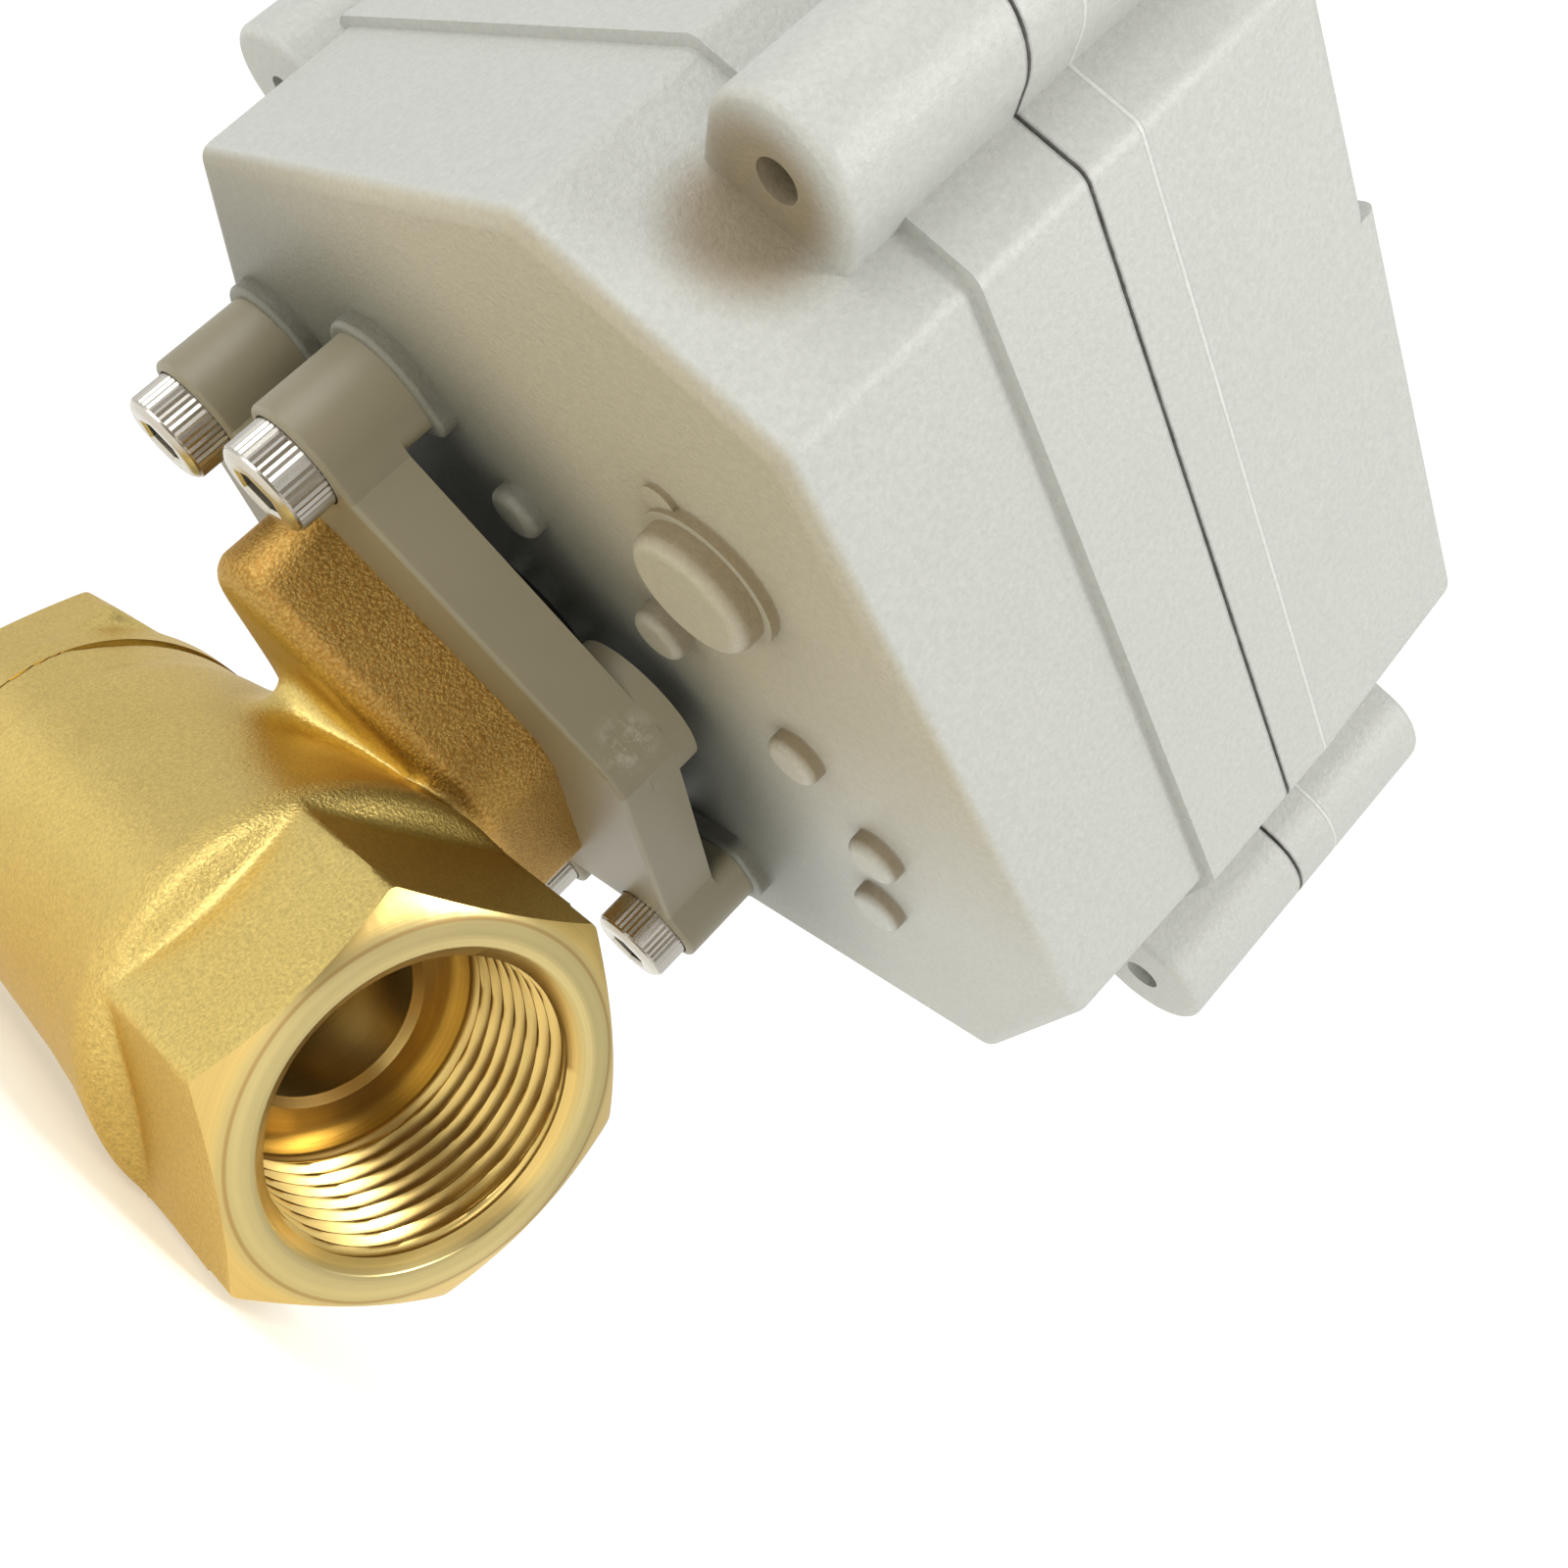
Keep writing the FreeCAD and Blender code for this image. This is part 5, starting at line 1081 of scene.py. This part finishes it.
def knurled_screw_tree():
    """Ridges round a screw head, then that screw at each corner of a rectangle.
    A ridge is a square bar set on edge. Its width is in shares of the head's radius
    over the ridge count, and its length is a share of the head's height."""
    ridge_width = 4.1
    ridge_length = 0.74
    ridge_sides = 4
    tree, given, result = node_group("knurled_socket_screws", [
        ("Head radius", "NodeSocketFloat"), ("Head height", "NodeSocketFloat"),
        ("Ridge count", "NodeSocketInt"), ("Ridge depth", "NodeSocketFloat"),
        ("Spacing X", "NodeSocketFloat"), ("Spacing Y", "NodeSocketFloat"),
        ("Head face", "NodeSocketFloat"), ("Finish", "NodeSocketMaterial")])
    ring = add_node(tree, "GeometryNodeMeshCircle", None,
                    {"Vertices": given["Ridge count"], "Radius": given["Head radius"]})
    width = add_node(tree, "ShaderNodeMath", {"operation": "DIVIDE"},
                     {0: given["Head radius"], 1: given["Ridge count"]})
    wide = add_node(tree, "ShaderNodeMath", {"operation": "MULTIPLY", 1: ridge_width}, {0: width})
    size = add_node(tree, "ShaderNodeCombineXYZ", None,
                    {"X": given["Ridge depth"], "Y": wide, "Z": given["Head height"]})
    ridge = add_node(tree, "GeometryNodeMeshCylinder",
                     {"Vertices": ridge_sides, "Radius": 1.0, "Depth": ridge_length}, None)
    shaped = add_node(tree, "GeometryNodeTransform", None, {"Geometry": ridge, "Scale": size})
    place = add_node(tree, "GeometryNodeInputPosition")
    flat = add_node(tree, "ShaderNodeVectorMath", {"operation": "MULTIPLY", 1: (1.0, 1.0, 0.0)},
                    {0: place})
    aim = add_node(tree, "FunctionNodeAlignRotationToVector", {"axis": "X"}, {"Vector": flat})
    ridges = add_node(tree, "GeometryNodeInstanceOnPoints", None,
                      {"Points": ring, "Instance": shaped,
                       "Rotation": aim})
    half = add_node(tree, "ShaderNodeMath", {"operation": "MULTIPLY", 1: 0.5}, {0: given["Head height"]})
    lift = add_node(tree, "ShaderNodeCombineXYZ", None, {"Z": half})
    raised = add_node(tree, "GeometryNodeTransform", None, {"Geometry": ridges, "Translation": lift})
    screw = add_node(tree, "GeometryNodeJoinGeometry")
    tree.links.new(given["Geometry"], screw.inputs["Geometry"])
    tree.links.new(raised.outputs["Geometry"], screw.inputs["Geometry"])
    grid = add_node(tree, "GeometryNodeMeshGrid", {"Vertices X": 2, "Vertices Y": 2},
                    {"Size X": given["Spacing X"], "Size Y": given["Spacing Y"]})
    drop = add_node(tree, "ShaderNodeCombineXYZ", None, {"Z": given["Head face"]})
    seats = add_node(tree, "GeometryNodeTransform", None, {"Geometry": grid, "Translation": drop})
    all_screws = add_node(tree, "GeometryNodeInstanceOnPoints", None,
                          {"Points": seats, "Instance": screw})
    real = add_node(tree, "GeometryNodeRealizeInstances", None, {"Geometry": all_screws})
    finish = add_node(tree, "GeometryNodeSetMaterial", None,
                      {"Geometry": real, "Material": given["Finish"]})
    tree.links.new(finish.outputs["Geometry"], result)
    return tree


def socket_screw_mesh(name, head_r, head_h, shank_r, length, socket):
    """One screw that stands on its head face, with a hexagon pocket in it."""
    edge = 0.35 * MM
    first_round = 0.35 * edge
    last_round = 1.2 * edge
    above = -0.2 * MM
    lead_in = 0.25 * MM
    lip_share = 1.12
    lip_slope = 1.02
    pocket_share = 0.6
    screw = turned(name, [(0, 0), (0, head_r - 2 * edge), (first_round, head_r - edge),
                          (last_round, head_r), (head_h, head_r), (head_h, shank_r),
                          (head_h + length, shank_r), (head_h + length, 0)], SCREW_STEPS, axis="Z")
    reach = socket / 2 / math.cos(math.radians(30))
    lip = reach * lip_share
    levels = ((lip * lip_slope, above), (lip, 0.0), (reach, lead_in), (reach, head_h * pocket_share))
    outlines = [[(r * math.cos(math.radians(60 * k)), r * math.sin(math.radians(60 * k)), z)
                 for k in range(6)]
                for r, z in levels]
    pocket = between_outlines("socket_tool", outlines)
    cut(screw, [pocket])
    return screw


class VALVE_OT_brass(bpy.types.Operator):
    """Build the forged body and end cap with their tapped ports"""

    bl_idname = "valve.brass"
    bl_label = "Brass pieces"

    def execute(self, context):
        sizes = context.scene.valve_sizes
        colours = context.scene.valve_colours
        blasted = blasted_brass(colours)
        machined = turned_brass(colours, sizes.port_ring_radius)
        body = forged_body(sizes, blasted, machined)
        cap = forged_cap(sizes, blasted, machined)
        for piece, node in ((body, "valve_body"), (cap, "end_cap")):
            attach(piece, STATIC_BODY)
            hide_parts(node)
        return {"FINISHED"}


class VALVE_OT_screws(bpy.types.Operator):
    """Build the knurled socket head screws under the bracket"""

    bl_idname = "valve.screws"
    bl_label = "Bracket screws"

    def execute(self, context):
        sizes = context.scene.valve_sizes
        head_r = 4.25 * MM
        head_h = 5.0 * MM
        shank_r = 2.5 * MM
        socket = 4.0 * MM
        sharp_degrees = 40.0
        shank = SCREWS_HIGH.z - SCREWS_LOW.z - head_h
        steel = smooth_metal("cold_headed_stainless_steel", context.scene.valve_colours.stainless,
                             roughness=0.24, line_mm=0.5, depth_mm=0.01)
        screws = socket_screw_mesh("bracket_screws_knurled", head_r - sizes.knurl_depth, head_h,
                                   shank_r, shank, socket)
        run_nodes(screws, knurled_screw_tree(), {
            "Head radius": head_r - sizes.knurl_depth, "Head height": head_h,
            "Ridge count": sizes.knurl_count, "Ridge depth": sizes.knurl_depth,
            "Spacing X": SCREWS_HIGH.x - SCREWS_LOW.x - 2 * head_r,
            "Spacing Y": SCREWS_HIGH.y - SCREWS_LOW.y - 2 * head_r,
            "Head face": SCREWS_LOW.z, "Finish": steel})
        crisp(screws, sharp_degrees)
        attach(screws, STATIC_BODY)
        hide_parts("bracket_screws")
        return {"FINISHED"}


class VALVE_OT_housing(bpy.types.Operator):
    """Finish the two housing shells, the bracket and the gland"""

    bl_idname = "valve.housing"
    bl_label = "Housing and bracket"

    def execute(self, context):
        colours = context.scene.valve_colours
        paint_nodes(("housing_base", "housing_cover"), housing_plastic(colours))
        paint_nodes(("mounting_bracket",), bracket_plastic(colours))
        # Polyamide: plain grey with a soft gloss
        gland = moulded_plastic("moulded_polyamide", linear("A3A39D"), roughness=0.45,
                                grain_mm=0.6, grain_depth_mm=0.02)
        paint_nodes(("gland_body", "gland_locknut", "gland_nut"), gland)
        paint_nodes(("indicator_window",), clear_polycarbonate())
        return {"FINISHED"}


class VALVE_OT_mechanism(bpy.types.Operator):
    """Finish the ball, stem, seals, gear train and electrics"""

    bl_idname = "valve.mechanism"
    bl_label = "Inside pieces"

    def execute(self, context):
        for name, code, roughness, grain_mm, grain_depth_mm, nodes in INNER_PLASTICS:
            paint_nodes(nodes, moulded_plastic(name, linear(code), roughness, grain_mm, grain_depth_mm))
        for name, code, roughness, line_mm, depth_mm, nodes in INNER_METALS:
            paint_nodes(nodes, smooth_metal(name, linear(code), roughness, line_mm, depth_mm))
        # Solder mask over laminate: deep green with darker clouds
        board = moulded_plastic("soldermask_on_laminate", linear("1F5C32"), roughness=0.35,
                                grain_mm=1.2, grain_depth_mm=0.02, shade=0.8)
        paint_nodes(("circuit_board",), board)
        return {"FINISHED"}


# Stage

def camera_turn(look, roll_degrees):
    """Rotation of a camera that looks along a direction, with a roll."""
    turn = look.to_track_quat("-Z", "Y").to_matrix()
    return turn @ Matrix.Rotation(math.radians(roll_degrees), 3, "Z")


def soft_light(name, place, target, size, power):
    """A square lamp that faces a target; sizes in metres, power in watts."""
    light = bpy.data.lights.new(name, "AREA")
    light.energy = power
    light.size = size
    obj = bpy.data.objects.new(name, light)
    obj.location = place
    obj.rotation_euler = (Vector(target) - Vector(place)).to_track_quat("-Z", "Y").to_euler()
    bpy.context.scene.collection.objects.link(obj)
    return obj


def sky_share(tree, toward, direction, inner_degrees, outer_degrees):
    """1 within inner_degrees of a direction, fading to 0 at outer_degrees."""
    heading = Vector(direction).normalized()
    facing = add_node(tree, "ShaderNodeVectorMath", {"operation": "DOT_PRODUCT", 1: tuple(heading)},
                      {0: toward})
    return add_node(tree, "ShaderNodeMapRange",
                    {"interpolation_type": "SMOOTHSTEP", "From Min": math.cos(math.radians(outer_degrees)),
                     "From Max": math.cos(math.radians(inner_degrees))}, {"Value": facing})


def studio_world():
    """A white tent all round, with one dim opening in front and a dimmer floor side."""
    world = bpy.data.worlds.new("studio")
    world.use_nodes = True
    tree = world.node_tree
    tree.nodes.clear()
    tent_white = (0.85, 0.86, 0.87)
    floor_side = (0.55, 0.52, 0.47)
    dim_opening = (0.20, 0.16, 0.11)
    toward = add_node(tree, "ShaderNodeTexCoord").outputs["Generated"]
    below = sky_share(tree, toward, (0.0, 0.0, -1.0), inner_degrees=20.0, outer_degrees=100.0)
    opening = sky_share(tree, toward, (0.88, -0.40, 0.12), inner_degrees=18.0, outer_degrees=42.0)
    tent = add_node(tree, "ShaderNodeMix",
                    {"data_type": "RGBA", 6: rgba(tent_white), 7: rgba(floor_side)}, {0: below})
    tone = add_node(tree, "ShaderNodeMix", {"data_type": "RGBA", 7: rgba(dim_opening)},
                    {0: opening, 6: tent})
    lighting = add_node(tree, "ShaderNodeBackground", {"Strength": 1.0}, {"Color": tone})
    backdrop = add_node(tree, "ShaderNodeBackground", {"Color": (1.0, 1.0, 1.0, 1.0), "Strength": 1.1})
    seen = add_node(tree, "ShaderNodeLightPath").outputs["Is Camera Ray"]
    both = add_node(tree, "ShaderNodeMixShader", None, {0: seen, 1: lighting, 2: backdrop})
    add_node(tree, "ShaderNodeOutputWorld", None, {"Surface": both})
    return world


def floor_board(colour):
    """Sanded opal acrylic: pale and matt, and it glows as a light table does."""
    material, tree, output, place = new_material("sanded_opal_acrylic")
    grain_mm = 3.0
    grain_depth = 0.01 * MM
    grain = add_node(tree, "ShaderNodeTexNoise", {"Scale": cell_scale(grain_mm)}, {"Vector": place})
    bump = add_node(tree, "ShaderNodeBump", {"Strength": 0.2, "Distance": grain_depth},
                    {"Height": grain})
    finish_surface(tree, output, {"Base Color": rgba(colour), "Roughness": 0.8,
                                  "Emission Color": (1.0, 1.0, 1.0, 1.0), "Emission Strength": 0.34},
                   {"Normal": bump})
    return material


class VALVE_OT_stage(bpy.types.Operator):
    """Set up the pale floor, the soft light and the camera"""

    bl_idname = "valve.stage"
    bl_label = "Stage"

    def execute(self, context):
        scene = context.scene
        low = CAD_BOX[0].z
        reach = 3.0
        floor = mesh_object("floor", [(-reach, -reach, low), (reach, -reach, low),
                                      (reach, reach, low), (-reach, reach, low)], [(0, 1, 2, 3)],
                            floor_board(scene.valve_colours.floor))
        scene.world = studio_world()
        scene.view_settings.view_transform = "Standard"
        soft_light("window_light", place=(0.42, -0.02, 0.30), target=(0.02, 0, 0.02), size=0.14, power=1.1)
        soft_light("side_light", place=(0.05, -0.45, 0.12), target=(0.02, 0, 0.05), size=0.30, power=0.75)
        camera = bpy.data.cameras.new("photo_camera")
        camera.sensor_width = 36.0
        camera.lens = 39.21
        camera.shift_x = -0.016
        camera.shift_y = -0.009
        camera.clip_start = 0.01
        camera.clip_end = 20.0
        view = bpy.data.objects.new("photo_camera", camera)
        view.rotation_mode = "QUATERNION"
        look = Vector((-0.69887, 0.65958, 0.27664))
        roll_degrees = 43.91
        view.location = (0.135913, -0.087201, 0.001277)
        view.rotation_quaternion = camera_turn(look, roll_degrees).to_quaternion()
        scene.collection.objects.link(view)
        scene.camera = view
        return {"FINISHED"}


class VALVE_PT_panel(bpy.types.Panel):
    """Lists the pieces that can be built"""

    bl_label = "Motorized ball valve"
    bl_idname = "VALVE_PT_panel"
    bl_space_type = "VIEW_3D"
    bl_region_type = "UI"
    bl_category = "Valve"

    def draw(self, context):
        for kind in OPERATORS:
            self.layout.operator(kind.bl_idname)
        for group in (context.scene.valve_sizes, context.scene.valve_colours):
            for name in group.__annotations__:
                self.layout.prop(group, name)


OPERATORS = (VALVE_OT_housing, VALVE_OT_mechanism, VALVE_OT_brass, VALVE_OT_screws, VALVE_OT_stage)
CLASSES = (ValveSizes, ValveColours) + OPERATORS + (VALVE_PT_panel,)


def register():
    """Make the sizes, colours, operators and the panel known."""
    for kind in CLASSES:
        bpy.utils.register_class(kind)
    bpy.types.Scene.valve_sizes = bpy.props.PointerProperty(type=ValveSizes)
    bpy.types.Scene.valve_colours = bpy.props.PointerProperty(type=ValveColours)


def unregister():
    """Take them away again."""
    del bpy.types.Scene.valve_colours
    del bpy.types.Scene.valve_sizes
    for kind in reversed(CLASSES):
        bpy.utils.unregister_class(kind)


def main():
    """Build everything in order."""
    register()
    bpy.ops.valve.housing()
    bpy.ops.valve.mechanism()
    bpy.ops.valve.brass()
    bpy.ops.valve.screws()
    bpy.ops.valve.stage()


if __name__ == "__main__":
    main()
